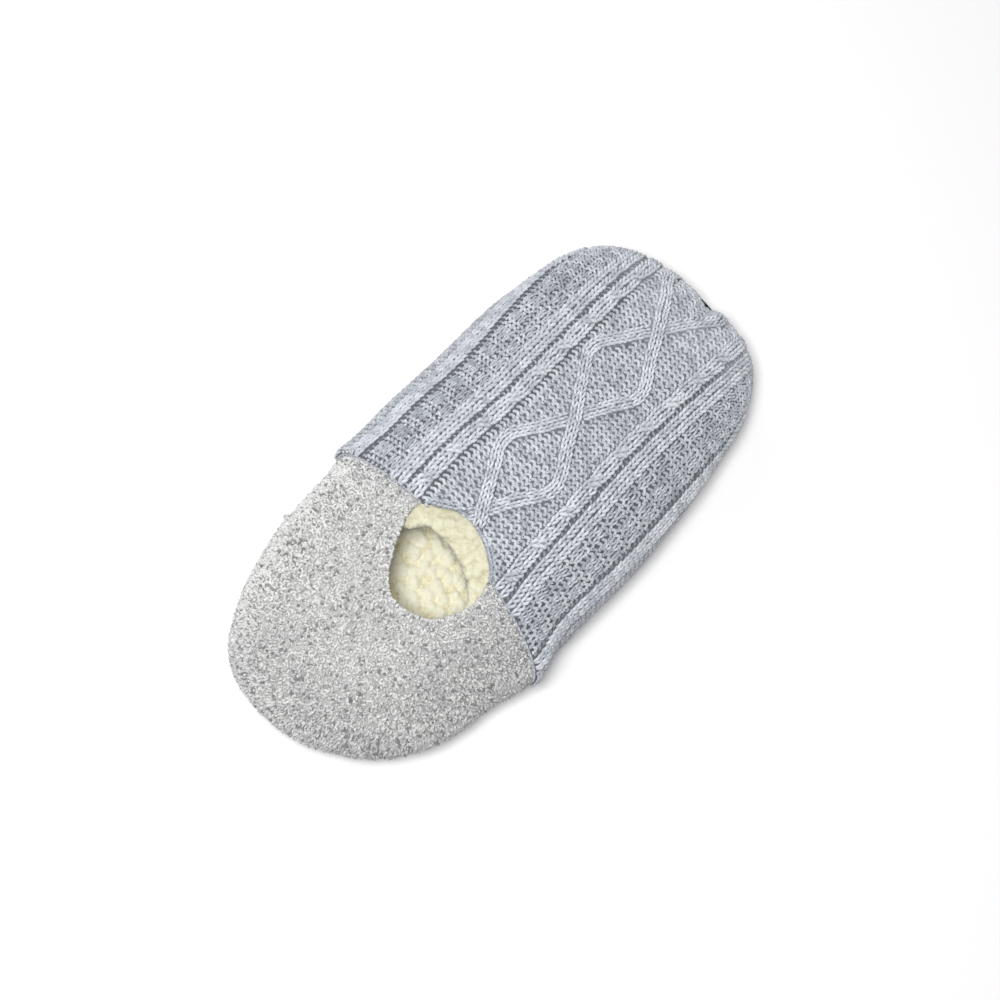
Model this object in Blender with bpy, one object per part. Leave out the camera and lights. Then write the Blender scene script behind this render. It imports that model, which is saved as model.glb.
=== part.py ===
# Knit slipper for either foot: a cable-knit vamp and a looped-yarn heel panel over a hollow
# fleece body, with a pile insole and a soft dark sole.
# Metres, +Z up, toe towards +Y, standing on the plane z = 0.

import math

import bmesh
import bpy
import numpy as np

MM = 0.001
GAP = 0.3 * MM

# Outside of the two outer panels over the last, in millimetres, a row for each length station.
FORM_COLUMNS = ("y", "half_width", "crown", "squareness")
FORM = (
    (-62, 52.8, 52.0, 2.30),
    (-46, 54.5, 54.5, 2.30),
    (-30, 57.0, 56.2, 2.35),
    (-14, 57.3, 56.4, 2.42),
    (2, 57.5, 55.2, 2.50),
    (26, 57.3, 51.8, 2.55),
    (43, 56.7, 48.8, 2.58),
    (59, 55.6, 45.6, 2.62),
    (78, 52.6, 41.4, 2.75),
)

# Ends of the form: the heel and toe sections turn about these lines down to the widest level.
HEEL_PIVOT = -62 * MM
HEEL_REACH = 60.4 * MM
HEEL_FULLNESS = 2.7
TOE_PIVOT = 78 * MM
TOE_REACH = 44 * MM
TOE_FULLNESS = 2.5
WIDEST_LEVEL = 19 * MM
SEAM = -30 * MM

# Walls and plates.
PANEL_WALL = 3.0 * MM
BODY_WALL = 4.0 * MM
BODY_INSET = PANEL_WALL + GAP
HEM_RISE = 2.2 * MM
HEM_FADE = 9 * MM
SOLE_THICK = 5.0 * MM
SOLE_ROUND = 1.4 * MM
SOLE_MARGIN = 0.8 * MM
SOLE_TOE_EXTRA = 9.0 * MM
SOLE_TOE_SQUARENESS = 2.1
LIP_START = 117 * MM
LIP_LENGTH = 9 * MM
LIP_LIFT = 4.5 * MM
INSOLE_THICK = 8.0 * MM
INSOLE_ROUND = 1.6 * MM

# Turn of every wall under the foot, from the widest level down to the sole.
TUCK = 6.0 * MM
TUCK_ROWS = 3
WAIST = 2.5 * MM
WAIST_CENTRE = -14 * MM
WAIST_HALF = 48 * MM

# Lie of the soft slipper: shallow arch, turned-up toe, a skewed and bowed seam, a slight sway
# and a toe that is turned a little, with its right corner ahead of its left.
ARCH_LIFT = 1.5 * MM
ARCH_CENTRE = -22 * MM
ARCH_HALF = 36 * MM
SPRING_START = 72 * MM
SPRING_LENGTH = 50 * MM
SPRING_LIFT = 6.0 * MM
SKEW = -0.077
SKEW_HALF = 45 * MM
SEAM_BOW = 5.5 * MM
BOW_HALF = 57 * MM
SWAY_COLUMNS = ("y", "shift")
SWAY = (
    (-122, -7.0),
    (-114, -4.6),
    (-105, -1.8),
    (-90, 0.1),
    (-54, 0.6),
    (-32, 2.1),
    (-14, 0.7),
    (26, 0.8),
    (60, -0.8),
    (100, -1.0),
    (122, 0.6),
)
TOE_TURN = 0.075
TOE_TURN_START = 82 * MM
TOE_TURN_LENGTH = 40 * MM
TOE_TURN_LEFT = 32 * MM
GATHER_DEPTH = 2.2 * MM
GATHER_X = 3.5 * MM
GATHER_HALF = 4.5 * MM
GATHER_START = 108 * MM

# Collar: rims of the outer panels and of the fleece body about one centre, by angle from +X.
COLLAR_X = 2.0 * MM
COLLAR_Y = -41.2 * MM
COLLAR_COLUMNS = ("angle", "panel_rim", "body_rim")
COLLAR = (
    (0, 19.7, 17.0),
    (30, 19.4, 12.0),
    (60, 18.6, 9.6),
    (90, 19.8, 10.4),
    (110, 21.4, 11.2),
    (135, 22.2, 13.8),
    (153, 24.6, 17.8),
    (180, 20.2, 19.0),
    (207, 18.0, 17.0),
    (235, 19.3, 18.4),
    (258, 21.2, 20.2),
    (285, 20.5, 19.5),
    (305, 20.6, 19.6),
    (330, 19.4, 18.4),
)
COLLAR_POINTS = 48

# Cables and ribs raised in the vamp, by distance round the section from the middle of the foot.
DIAMOND_HALF = 13.4 * MM
DIAMOND_SHIFT = -2.2 * MM
CROSS_FIRST = 16.3 * MM
CROSS_PITCH = 54.7 * MM
STRAND_HALF = 2.7 * MM
STRAND_RISE = 1.9 * MM
ROPE_PITCH = 14.9 * MM
RIDGE_EDGE = 1.4 * MM
RELIEF_CLEAR = 3 * MM
RELIEF_FADE = 11 * MM
RIDGE_COLUMNS = ("name", "middle", "half", "rise")
RIDGES = (
    ("rope", 22.1, 3.2, 1.5),
    ("inner_rib", 30.2, 3.6, 1.3),
    ("outer_rib", 56.0, 3.6, 1.3),
)

# Drift of the cables away from the middle of the foot, by length from the seam, in millimetres.
DRIFT_COLUMNS = ("length", "left_inner", "left_outer", "right_inner", "right_outer")
DRIFT = (
    (0, 3.9, 0.4, 0.6, -0.2),
    (22, 3.7, -0.4, 0.4, -0.4),
    (60, 2.4, -1.8, -1.6, -0.4),
    (104, 1.4, -0.4, 0.2, -0.2),
    (135, 1.6, 0.0, 1.9, 0.6),
)
DRIFT_KNOTS = (0, 18.7, 34.0, 51.0, 60.0, 80.0)
GROUND_STEP = 2.66 * MM
MOSS_MARKS = (40.0, 46.0)
SIDE_SHARES = (0.5, 1.0)

# Facets.
COARSE_HALF = 9
HEEL_FAN = 6
HEEL_BODY_ROWS = 4
VAMP_COARSE_ROWS = 10
TOE_COARSE_FAN = 5
VAMP_FINE_SPLIT = 3
TOE_FINE_SPLIT = 2
PLATE_ROWS = 32
DENSE = 240

# Colours, linear, with roughness.
LOOK_COLUMNS = ("name", "red", "green", "blue", "roughness")
LOOKS = (
    ("blue_grey_knit", 0.44, 0.465, 0.50, 0.95),
    ("grey_looped_yarn", 0.56, 0.56, 0.55, 0.95),
    ("cream_fleece", 0.86, 0.82, 0.62, 0.98),
    ("cream_pile", 0.88, 0.83, 0.63, 0.98),
    ("charcoal_sole", 0.030, 0.030, 0.033, 0.80),
)


def smooth_table(keys, values, at):
    """Smooth curve through table rows, straight on beyond both ends."""
    slopes = np.gradient(values, keys)
    at = np.asarray(at, dtype=float)
    row = np.clip(np.searchsorted(keys, at) - 1, 0, len(keys) - 2)
    span = keys[row + 1] - keys[row]
    t = np.clip((at - keys[row]) / span, 0.0, 1.0)
    start = (1 + 2 * t) * (1 - t) ** 2 * values[row] + t * (1 - t) ** 2 * span * slopes[row]
    end = t * t * (3 - 2 * t) * values[row + 1] + t * t * (t - 1) * span * slopes[row + 1]
    before = np.minimum(at - keys[0], 0.0) * slopes[0]
    after = np.maximum(at - keys[-1], 0.0) * slopes[-1]
    return start + end + before + after


def columns_of(names, rows):
    """Table rows as one array for each named column."""
    return {name: np.array([float(row[i]) for row in rows]) for i, name in enumerate(names)}


FORM_TABLE = columns_of(FORM_COLUMNS, FORM)
SWAY_TABLE = columns_of(SWAY_COLUMNS, SWAY)
COLLAR_TABLE = columns_of(COLLAR_COLUMNS, COLLAR)
DRIFT_TABLE = columns_of(DRIFT_COLUMNS, DRIFT)


def form(name, y):
    """One column of the form at length y."""
    scale = 1.0 if name == "squareness" else MM
    return smooth_table(FORM_TABLE["y"] * MM, FORM_TABLE[name] * scale, y)


def bump(distance, half):
    """Soft hump, one in the middle and zero past its half length."""
    return np.where(np.abs(distance) < half, np.cos(0.5 * np.pi * distance / half) ** 2, 0.0)


def drifted(distance, length, side, back=False):
    """Distance from the middle of the foot after the cables' drift on one side, or before it."""
    at = np.clip(length, DRIFT_TABLE["length"][0] * MM, DRIFT_TABLE["length"][-1] * MM)
    moved = {
        ring: float(smooth_table(DRIFT_TABLE["length"] * MM, DRIFT_TABLE[f"{side}_{ring}"] * MM, at))
        for ring in ("inner", "outer")
    }
    knots = np.array(DRIFT_KNOTS) * MM
    ends = knots + np.array((0, moved["inner"], moved["inner"], moved["outer"], moved["outer"], 0))
    past = np.maximum(distance - knots[-1], 0.0)
    return np.interp(distance, *((ends, knots) if back else (knots, ends))) + past


def settle(points, gathered=False):
    """Lie of the soft slipper: gathered toe, turned toe, seam skew, sway, arch and toe spring."""
    points = np.array(points, dtype=float)
    x, y, z = points.T
    if gathered:
        pull = np.exp(-((x - GATHER_X) / GATHER_HALF) ** 2)
        y = y - GATHER_DEPTH * pull * np.clip((y - GATHER_START) / (14 * MM), 0, 1)
    spring = np.clip((y - SPRING_START) / SPRING_LENGTH, 0, None)
    lift = ARCH_LIFT * bump(y - ARCH_CENTRE, ARCH_HALF) + SPRING_LIFT * spring ** 2
    sway = smooth_table(SWAY_TABLE["y"] * MM, SWAY_TABLE["shift"] * MM, y)
    near_seam = np.exp(-((y - SEAM) / SKEW_HALF) ** 2)
    skew = (SKEW * x - SEAM_BOW * (x / BOW_HALF) ** 2) * near_seam
    to_toe = np.clip((y - TOE_TURN_START) / TOE_TURN_LENGTH, 0, 1)
    turn = TOE_TURN * x * (1 - (np.minimum(x, 0.0) / TOE_TURN_LEFT) ** 2)
    skew = skew + turn * to_toe ** 2 * (3 - 2 * to_toe)
    return np.column_stack((x + sway, y + skew, z + lift))


def half_section(station, inset):
    """Right half of one section, from the crown round to the widest level, as dense points."""
    zone, value = station
    angle = np.linspace(0, 0.5 * np.pi, DENSE)
    pivot = {"heel": HEEL_PIVOT, "toe": TOE_PIVOT}.get(zone, value)
    power = 2.0 / float(form("squareness", pivot))
    across = np.sin(angle) ** power
    inward = np.cos(angle) ** power
    inward[-1] = 0.0
    if zone == "body":
        y = np.full(DENSE, value)
        rise = 1.0
    else:
        reach = (HEEL_REACH if zone == "heel" else TOE_REACH) - inset
        forward = -1.0 if zone == "heel" else 1.0
        turn = 2.0 / (HEEL_FULLNESS if zone == "heel" else TOE_FULLNESS)
        y = pivot + forward * reach * max(math.cos(value), 0.0) ** turn * inward
        rise = max(math.sin(value), 0.0) ** turn
    x = (form("half_width", y) - inset) * across
    height = form("crown", y) - inset - WIDEST_LEVEL
    z = WIDEST_LEVEL + height * rise * inward
    return np.column_stack((x, y, z))


def spread(curve, marks):
    """Points of a curve at the given distances along it."""
    steps = np.linalg.norm(np.diff(curve, axis=0), axis=1)
    length = np.concatenate(([0.0], np.cumsum(steps)))
    marks = np.minimum(marks, length[-1])
    return np.column_stack([np.interp(marks, length, curve[:, i]) for i in range(3)])


def half_length(curve):
    return float(np.linalg.norm(np.diff(curve, axis=0), axis=1).sum())


def fan_angles(count):
    """Section angles from the upright one, left out, down to the level one."""
    return [0.5 * math.pi * (1 - i / count) for i in range(1, count + 1)]


def heel_stations(front):
    fan = [("heel", angle) for angle in reversed(fan_angles(HEEL_FAN))]
    rows = np.linspace(HEEL_PIVOT, front, HEEL_BODY_ROWS + 1)
    return fan + [("body", float(y)) for y in rows]


def vamp_stations(rear, split, fan_split):
    rows = np.linspace(rear, TOE_PIVOT, VAMP_COARSE_ROWS * split + 1)
    fan = [("toe", angle) for angle in fan_angles(TOE_COARSE_FAN * fan_split)]
    return [("body", float(y)) for y in rows] + fan


def coarse_marks(total):
    return np.linspace(0, total, COARSE_HALF + 1)


def knit_marks(total):
    """Distances from the middle of the foot that follow the knit pattern, then even to the side."""
    marks = list(np.arange(0, 7) * GROUND_STEP)
    for name, middle, half, rise in RIDGES:
        foot = half * MM + 0.2 * MM
        top = foot - RIDGE_EDGE
        if name == "outer_rib":
            marks += [mark * MM for mark in MOSS_MARKS]
        marks += [middle * MM + offset for offset in (-foot, -top, top, foot)]
    last = marks[-1]
    marks += [last + share * (total - last) for share in SIDE_SHARES]
    return np.array(marks)


def relief(distance, length):
    """Height of the raised cables and ribs at a distance from the middle and along the foot."""
    phase = math.pi * (length - CROSS_FIRST) / CROSS_PITCH
    wave = math.sin(phase) - 0.11 * math.sin(3 * phase) + 0.03 * math.sin(5 * phase)
    swing = DIAMOND_HALF * wave / 1.14
    across = distance - DIAMOND_SHIFT
    off_strand = np.minimum(np.abs(across - swing), np.abs(across + swing))
    height = STRAND_RISE * np.clip((STRAND_HALF + RIDGE_EDGE - off_strand) / RIDGE_EDGE, 0, 1)
    left = drifted(-distance, length, "left", back=True)
    right = drifted(distance, length, "right", back=True)
    plain = np.where(distance < 0, left, right)
    for name, middle, half, rise in RIDGES:
        off = np.abs(plain - middle * MM)
        lobe = 0.8 + 0.2 * abs(math.cos(math.pi * length / ROPE_PITCH)) if name == "rope" else 1.0
        ridge = np.clip((half * MM + 0.2 * MM - off) / RIDGE_EDGE, 0, 1)
        height = np.maximum(height, rise * MM * lobe * ridge)
    return height


def section_grid(stations, inset, marks_of):
    """Points of every station from the left side over the crown to the right side."""
    grid = []
    for station in stations:
        curve = half_section(station, inset)
        marks = marks_of(half_length(curve))
        sides = {"left": marks, "right": marks}
        if marks_of is knit_marks:
            length = station[1] - SEAM if station[0] == "body" else math.inf
            sides = {side: drifted(marks, length, side) for side in sides}
        right = spread(curve, sides["right"])
        left = spread(curve, sides["left"])[:0:-1] * np.array((-1.0, 1.0, 1.0))
        grid.append(np.vstack((left, right)))
    return np.array(grid)


def raise_pattern(grid, stations):
    """Lift the knit pattern and the thick rear hem of the vamp out of its plain grid."""
    lengthwise = np.gradient(grid, axis=0)
    crosswise = np.gradient(grid, axis=1)
    normal = np.cross(crosswise, lengthwise)
    size = np.linalg.norm(normal, axis=2, keepdims=True)
    normal = normal / np.maximum(size, 1e-12)
    middle = grid.shape[1] // 2
    crown_steps = np.linalg.norm(np.diff(grid[:, middle], axis=0), axis=1)
    length = np.concatenate(([0.0], np.cumsum(crown_steps)))
    raised = grid.copy()
    for row, station in enumerate(stations):
        steps = np.linalg.norm(np.diff(grid[row], axis=0), axis=1)
        around = np.concatenate(([0.0], np.cumsum(steps)))
        distance = around - around[middle]
        height = relief(distance, length[row])
        to_side = around[-1] - around[middle] - np.abs(distance)
        height = height * np.clip((to_side - RELIEF_CLEAR) / RELIEF_FADE, 0, 1)
        if station[0] == "toe":
            height = height * min(1.0, max(0.0, station[1] / 0.7))
        height = height + HEM_RISE * math.exp(-(length[row] / HEM_FADE) ** 2)
        height[0] = height[-1] = HEM_RISE * math.exp(-(length[row] / HEM_FADE) ** 2)
        raised[row] += normal[row] * height[:, None]
    ends = [row for row, station in enumerate(stations) if station[0] == "toe"]
    pole = ends[0] - 1
    for row in ends:
        raised[row, 0] = raised[pole, 0]
        raised[row, -1] = raised[pole, -1]
    return raised


def tuck_depth(y):
    return TUCK + WAIST * bump(y - WAIST_CENTRE, WAIST_HALF)


def patch(grid, stations):
    """Surface of a section grid with its turn under the foot: points, triangles and edges."""
    rows, columns = grid.shape[:2]
    index = np.zeros((rows, columns), dtype=int)
    points = []
    body = [row for row in range(rows) if stations[row][0] == "body"]
    poles = {"heel": body[0], "toe": body[-1]}
    order = body + [row for row in range(rows) if row not in body]
    for row in order:
        for column in range(columns):
            at_side = column in (0, columns - 1)
            if at_side and stations[row][0] != "body":
                index[row, column] = index[poles[stations[row][0]], column]
                continue
            index[row, column] = len(points)
            points.append(grid[row, column])
    triangles = []
    for row in range(rows - 1):
        for column in range(columns - 1):
            a, b = index[row, column], index[row, column + 1]
            c, d = index[row + 1, column + 1], index[row + 1, column]
            for triangle in ((a, b, c), (a, c, d)):
                if len(set(triangle)) == 3:
                    triangles.append(triangle)

    left = [index[row, 0] for row in body]
    right = [index[row, columns - 1] for row in body]
    ring = list(left)
    closed = stations[0][0] == "heel" and stations[-1][0] == "toe"
    if stations[-1][0] == "toe":
        ring += list(index[rows - 1, 1:columns - 1]) + right[::-1]
    if stations[0][0] == "heel":
        heel = list(index[0, 1:columns - 1])
        ring = ring + heel[::-1] if closed else right[::-1] + heel[::-1] + ring
    line = np.array([points[i] for i in ring])
    if closed:
        along = np.roll(line, -1, axis=0) - np.roll(line, 1, axis=0)
    else:
        along = np.gradient(line, axis=0)
    inward = np.column_stack((along[:, 1], -along[:, 0], np.zeros(len(ring))))
    if not closed:
        inward[[0, -1], 1] = 0.0
    inward /= np.linalg.norm(inward, axis=1, keepdims=True)
    floor_edge = SOLE_THICK + GAP
    hem = ring
    side_edges = [[ring[0]], [ring[-1]]]
    for step in range(1, TUCK_ROWS + 1):
        share = step / TUCK_ROWS
        level = line + inward * (tuck_depth(line[:, 1]) * share ** 2)[:, None]
        level[:, 2] = WIDEST_LEVEL + (floor_edge - WIDEST_LEVEL) * share
        lower = list(range(len(points), len(points) + len(ring)))
        points += list(level)
        for i in range(len(ring) if closed else len(ring) - 1):
            j = (i + 1) % len(ring)
            triangles += [(hem[i], hem[j], lower[j]), (hem[i], lower[j], lower[i])]
        hem = lower
        side_edges[0].append(hem[0])
        side_edges[1].append(hem[-1])
    edge = None
    if not closed:
        cut = rows - 1 if stations[0][0] == "heel" else 0
        over = list(index[cut, :])
        starts_left = ring[0] == over[0]
        first, last = (side_edges[0], side_edges[1]) if starts_left else (side_edges[1], side_edges[0])
        edge = first[::-1] + over[1:-1] + last
        if starts_left:
            hem = hem[::-1]
    return points, triangles, hem, edge


def zip_edges(points, first, second):
    """Triangles between two edges that run side by side, whatever their point counts."""
    def shares(edge):
        line = np.array([points[i] for i in edge])
        steps = np.linalg.norm(np.diff(line, axis=0), axis=1)
        return np.concatenate(([0.0], np.cumsum(steps))) / steps.sum()

    share_first, share_second = shares(first), shares(second)
    i = j = 0
    triangles = []
    while i < len(first) - 1 or j < len(second) - 1:
        first_next = share_first[i + 1] if i < len(first) - 1 else 2.0
        second_next = share_second[j + 1] if j < len(second) - 1 else 2.0
        if first_next <= second_next:
            triangles.append((first[i], first[i + 1], second[j]))
            i += 1
        else:
            triangles.append((first[i], second[j + 1], second[j]))
            j += 1
    return triangles


def wall(outer, inner):
    """Closed solid between an outer and an inner patch."""
    points = list(outer[0]) + list(inner[0])
    offset = len(outer[0])
    triangles = list(outer[1]) + [tuple(i + offset for i in t[::-1]) for t in inner[1]]
    inner_hem = [i + offset for i in inner[2]]
    outer_hem = list(outer[2])
    if outer[3] is None:
        outer_hem.append(outer_hem[0])
        inner_hem.append(inner_hem[0])
    else:
        inner_edge = [i + offset for i in inner[3]]
        triangles += zip_edges(points, list(outer[3]), inner_edge)
    triangles += zip_edges(points, outer_hem, inner_hem)
    return np.array(points), triangles


def outline_half(y, inset, toe_extra, toe_squareness):
    """Half width of the plan outline, drawn in from the widest line."""
    heel_reach = HEEL_REACH - inset
    toe_reach = TOE_REACH - inset + toe_extra
    pivot = min(max(y, HEEL_PIVOT), TOE_PIVOT)
    squareness = toe_squareness if y > TOE_PIVOT else float(form("squareness", pivot))
    share = max((HEEL_PIVOT - y) / heel_reach, (y - TOE_PIVOT) / toe_reach, 0.0)
    half = float(form("half_width", y)) - inset
    return half * max(1.0 - share ** squareness, 0.0) ** (1.0 / squareness)


def plate(inset_of, toe_extra, toe_squareness, low, high, round_low, round_high):
    """Plate with a rounded edge along the plan outline, as a loft of flat closed sections."""
    rear = HEEL_PIVOT - HEEL_REACH + inset_of(HEEL_PIVOT - HEEL_REACH)
    front = TOE_PIVOT + TOE_REACH + toe_extra - inset_of(TOE_PIVOT + TOE_REACH)
    turn = np.linspace(0, math.pi, PLATE_ROWS + 1)
    lengths = 0.5 * (rear + front) - 0.5 * (front - rear) * np.cos(turn)
    lengths[0] += 0.15 * MM
    lengths[-1] -= 0.15 * MM
    lengths = np.unique(np.concatenate((lengths, (HEEL_PIVOT, SPRING_START))))
    points = []
    triangles = []
    for y in lengths:
        half = outline_half(y, inset_of(y), toe_extra, toe_squareness)
        near_low = min(round_low, 0.6 * half)
        near_high = min(round_high, 0.6 * half)
        flat_low = half - near_low
        flat_high = half - near_high
        section = [(x * flat_low, low) for x in (-1.0, -0.5, 0.0, 0.5, 1.0)]
        section += [(half - 0.3 * near_low, low + 0.3 * round_low), (half, low + round_low)]
        section += [(half, high - round_high), (half - 0.3 * near_high, high - 0.3 * round_high)]
        section += [(x * flat_high, high) for x in (1.0, 0.5, 0.0, -0.5, -1.0)]
        section += [(-half + 0.3 * near_high, high - 0.3 * round_high), (-half, high - round_high)]
        section += [(-half, low + round_low), (-half + 0.3 * near_low, low + 0.3 * round_low)]
        points += [(x, y, z) for x, z in section]
    count = len(section)
    for row in range(len(lengths) - 1):
        for i in range(count):
            j = (i + 1) % count
            a, b = row * count + i, row * count + j
            triangles += [(a, b, b + count), (a, b + count, a + count)]
    last = (len(lengths) - 1) * count
    ends = [tuple(range(count)), tuple(range(last + count - 1, last - 1, -1))]
    return np.array(points), triangles + ends


def material(name):
    values = {row[0]: row[1:] for row in LOOKS}[name]
    made = bpy.data.materials.new(name)
    made.use_nodes = True
    shader = made.node_tree.nodes["Principled BSDF"]
    shader.inputs["Base Color"].default_value = (values[0], values[1], values[2], 1.0)
    shader.inputs["Roughness"].default_value = values[3]
    shader.inputs["Metallic"].default_value = 0.0
    made.diffuse_color = (values[0], values[1], values[2], 1.0)
    return made


def solid(name, points, faces, look):
    """Mesh object with outward faces, smooth shading and its own material."""
    mesh = bpy.data.meshes.new(name)
    mesh.from_pydata([tuple(p) for p in points], [], [tuple(int(i) for i in f) for f in faces])
    work = bmesh.new()
    work.from_mesh(mesh)
    bmesh.ops.recalc_face_normals(work, faces=work.faces)
    work.to_mesh(mesh)
    work.free()
    mesh.shade_smooth()
    piece = bpy.data.objects.new(name, mesh)
    bpy.context.scene.collection.objects.link(piece)
    if look:
        mesh.materials.append(material(look))
    return piece


def collar_cutter(name, rim):
    """Upright prism through the top along one rim of the collar."""
    angles = np.concatenate((COLLAR_TABLE["angle"] - 360, COLLAR_TABLE["angle"], COLLAR_TABLE["angle"] + 360))
    radii = np.tile(COLLAR_TABLE[rim] * MM, 3)
    turn = np.arange(COLLAR_POINTS) * 360.0 / COLLAR_POINTS
    radius = smooth_table(angles, radii, turn)
    x = COLLAR_X + radius * np.cos(np.radians(turn))
    y = COLLAR_Y + radius * np.sin(np.radians(turn))
    low = [(a, b, 0.5 * (WIDEST_LEVEL + SOLE_THICK) + 8 * MM) for a, b in zip(x, y)]
    high = [(a, b, 90 * MM) for a, b in zip(x, y)]
    faces = [tuple(range(COLLAR_POINTS))[::-1], tuple(range(COLLAR_POINTS, 2 * COLLAR_POINTS))]
    for i in range(COLLAR_POINTS):
        j = (i + 1) % COLLAR_POINTS
        faces.append((i, j, j + COLLAR_POINTS, i + COLLAR_POINTS))
    cutter = solid(name, low + high, faces, None)
    cutter.hide_render = True
    cutter.display_type = "WIRE"
    return cutter


def cut(piece, cutter):
    made = piece.modifiers.new("collar", "BOOLEAN")
    made.operation = "DIFFERENCE"
    made.solver = "EXACT"
    made.object = cutter


def main():
    for old in list(bpy.data.objects):
        bpy.data.objects.remove(old, do_unlink=True)

    half_gap = 0.5 * GAP
    heel_rows = heel_stations(SEAM - half_gap)
    vamp_coarse = vamp_stations(SEAM + half_gap, 1, 1)
    vamp_fine = vamp_stations(SEAM + half_gap, VAMP_FINE_SPLIT, TOE_FINE_SPLIT)
    whole = heel_rows + vamp_coarse

    body_outer = patch(section_grid(whole, BODY_INSET, coarse_marks), whole)
    body_inner = patch(section_grid(whole, BODY_INSET + BODY_WALL, coarse_marks), whole)
    heel_outer = patch(section_grid(heel_rows, 0.0, coarse_marks), heel_rows)
    heel_inner = patch(section_grid(heel_rows, PANEL_WALL, coarse_marks), heel_rows)
    plain = section_grid(vamp_fine, 0.0, knit_marks)
    vamp_outer = patch(raise_pattern(plain, vamp_fine), vamp_fine)
    vamp_inner = patch(section_grid(vamp_coarse, PANEL_WALL, coarse_marks), vamp_coarse)

    def sole_inset(y):
        return float(tuck_depth(y)) - SOLE_MARGIN

    def insole_inset(y):
        return float(tuck_depth(y)) + BODY_INSET + BODY_WALL + 2 * GAP

    insole_low = SOLE_THICK + GAP
    toe_squareness = float(form("squareness", TOE_PIVOT))
    sole_points, sole_faces = plate(
        sole_inset, SOLE_TOE_EXTRA, SOLE_TOE_SQUARENESS, 0.0, SOLE_THICK, SOLE_ROUND, SOLE_ROUND
    )
    insole_shape = plate(
        insole_inset, 0.0, toe_squareness, insole_low, insole_low + INSOLE_THICK, 0.6 * MM, INSOLE_ROUND
    )
    lip = np.clip((sole_points[:, 1] - LIP_START) / LIP_LENGTH, 0, None)
    sole_points[:, 2] += LIP_LIFT * lip ** 2
    shapes = {
        "sole": (sole_points, sole_faces),
        "upper": wall(body_outer, body_inner),
        "vamp": wall(vamp_outer, vamp_inner),
        "heel_panel": wall(heel_outer, heel_inner),
        "insole": insole_shape,
    }
    looks = {
        "sole": "charcoal_sole",
        "upper": "cream_fleece",
        "vamp": "blue_grey_knit",
        "heel_panel": "grey_looped_yarn",
        "insole": "cream_pile",
    }
    settled = {
        name: settle(points, gathered=name in ("upper", "vamp"))
        for name, (points, faces) in shapes.items()
    }
    everything = np.vstack(list(settled.values()))
    middle = 0.5 * (everything.min(axis=0) + everything.max(axis=0))
    shift = np.array((middle[0], middle[1], 0.0))

    pieces = {}
    for name, (points, faces) in shapes.items():
        pieces[name] = solid(name, settled[name] - shift, faces, looks[name])
    panel_cutter = collar_cutter("collar_cut_panels", "panel_rim")
    body_cutter = collar_cutter("collar_cut_body", "body_rim")
    for cutter in (panel_cutter, body_cutter):
        for vertex in cutter.data.vertices:
            vertex.co.x -= shift[0]
            vertex.co.y -= shift[1]
    cut(pieces["upper"], body_cutter)
    cut(pieces["vamp"], panel_cutter)
    cut(pieces["heel_panel"], panel_cutter)


main()
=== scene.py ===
import math
from functools import partial

import bpy
import numpy as np
from mathutils import Matrix, Vector, kdtree


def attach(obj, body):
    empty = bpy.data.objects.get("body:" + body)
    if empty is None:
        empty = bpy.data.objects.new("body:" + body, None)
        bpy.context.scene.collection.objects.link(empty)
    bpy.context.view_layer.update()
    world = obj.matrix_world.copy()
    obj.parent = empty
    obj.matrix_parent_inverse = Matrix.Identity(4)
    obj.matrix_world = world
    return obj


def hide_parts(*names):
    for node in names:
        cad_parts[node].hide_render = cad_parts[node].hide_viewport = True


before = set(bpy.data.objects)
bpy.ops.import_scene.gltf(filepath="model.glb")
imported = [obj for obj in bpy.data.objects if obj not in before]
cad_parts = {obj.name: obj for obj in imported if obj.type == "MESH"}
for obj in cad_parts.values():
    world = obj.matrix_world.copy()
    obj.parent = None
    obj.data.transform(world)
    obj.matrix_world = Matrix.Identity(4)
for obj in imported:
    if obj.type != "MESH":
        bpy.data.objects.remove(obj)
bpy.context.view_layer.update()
scene = bpy.context.scene
mm = 0.001

# the last, as the CAD has it: toe towards +Y, lengths in metres
last = {
    "y": np.array([-62, -46, -30, -14, 2, 26, 43, 59, 78]) * mm,
    "halfWidth": np.array([52.8, 54.5, 57.0, 57.3, 57.5, 57.3, 56.7, 55.6, 52.6]) * mm,
    "crown": np.array([52.0, 54.5, 56.2, 56.4, 55.2, 51.8, 48.8, 45.6, 41.4]) * mm,
    "squareness": np.array([2.30, 2.30, 2.35, 2.42, 2.50, 2.55, 2.58, 2.62, 2.75]),
    "heelPivot": -62 * mm,
    "heelReach": 60.4 * mm,
    "heelFullness": 2.7,
    "toePivot": 78 * mm,
    "toeReach": 44 * mm,
    "toeFullness": 2.5,
    "widest": 19 * mm,
    "seam": -30 * mm,
    "tuck": 6 * mm,
    "tuckLength": 15.2 * mm,
    "waist": 2.5 * mm,
    "waistMiddle": -14 * mm,
    "waistHalf": 48 * mm,
    "floorEdge": 5.6 * mm,
    "shift": np.array([1.9778, 1.7617, 0.0]) * mm,
}
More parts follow.
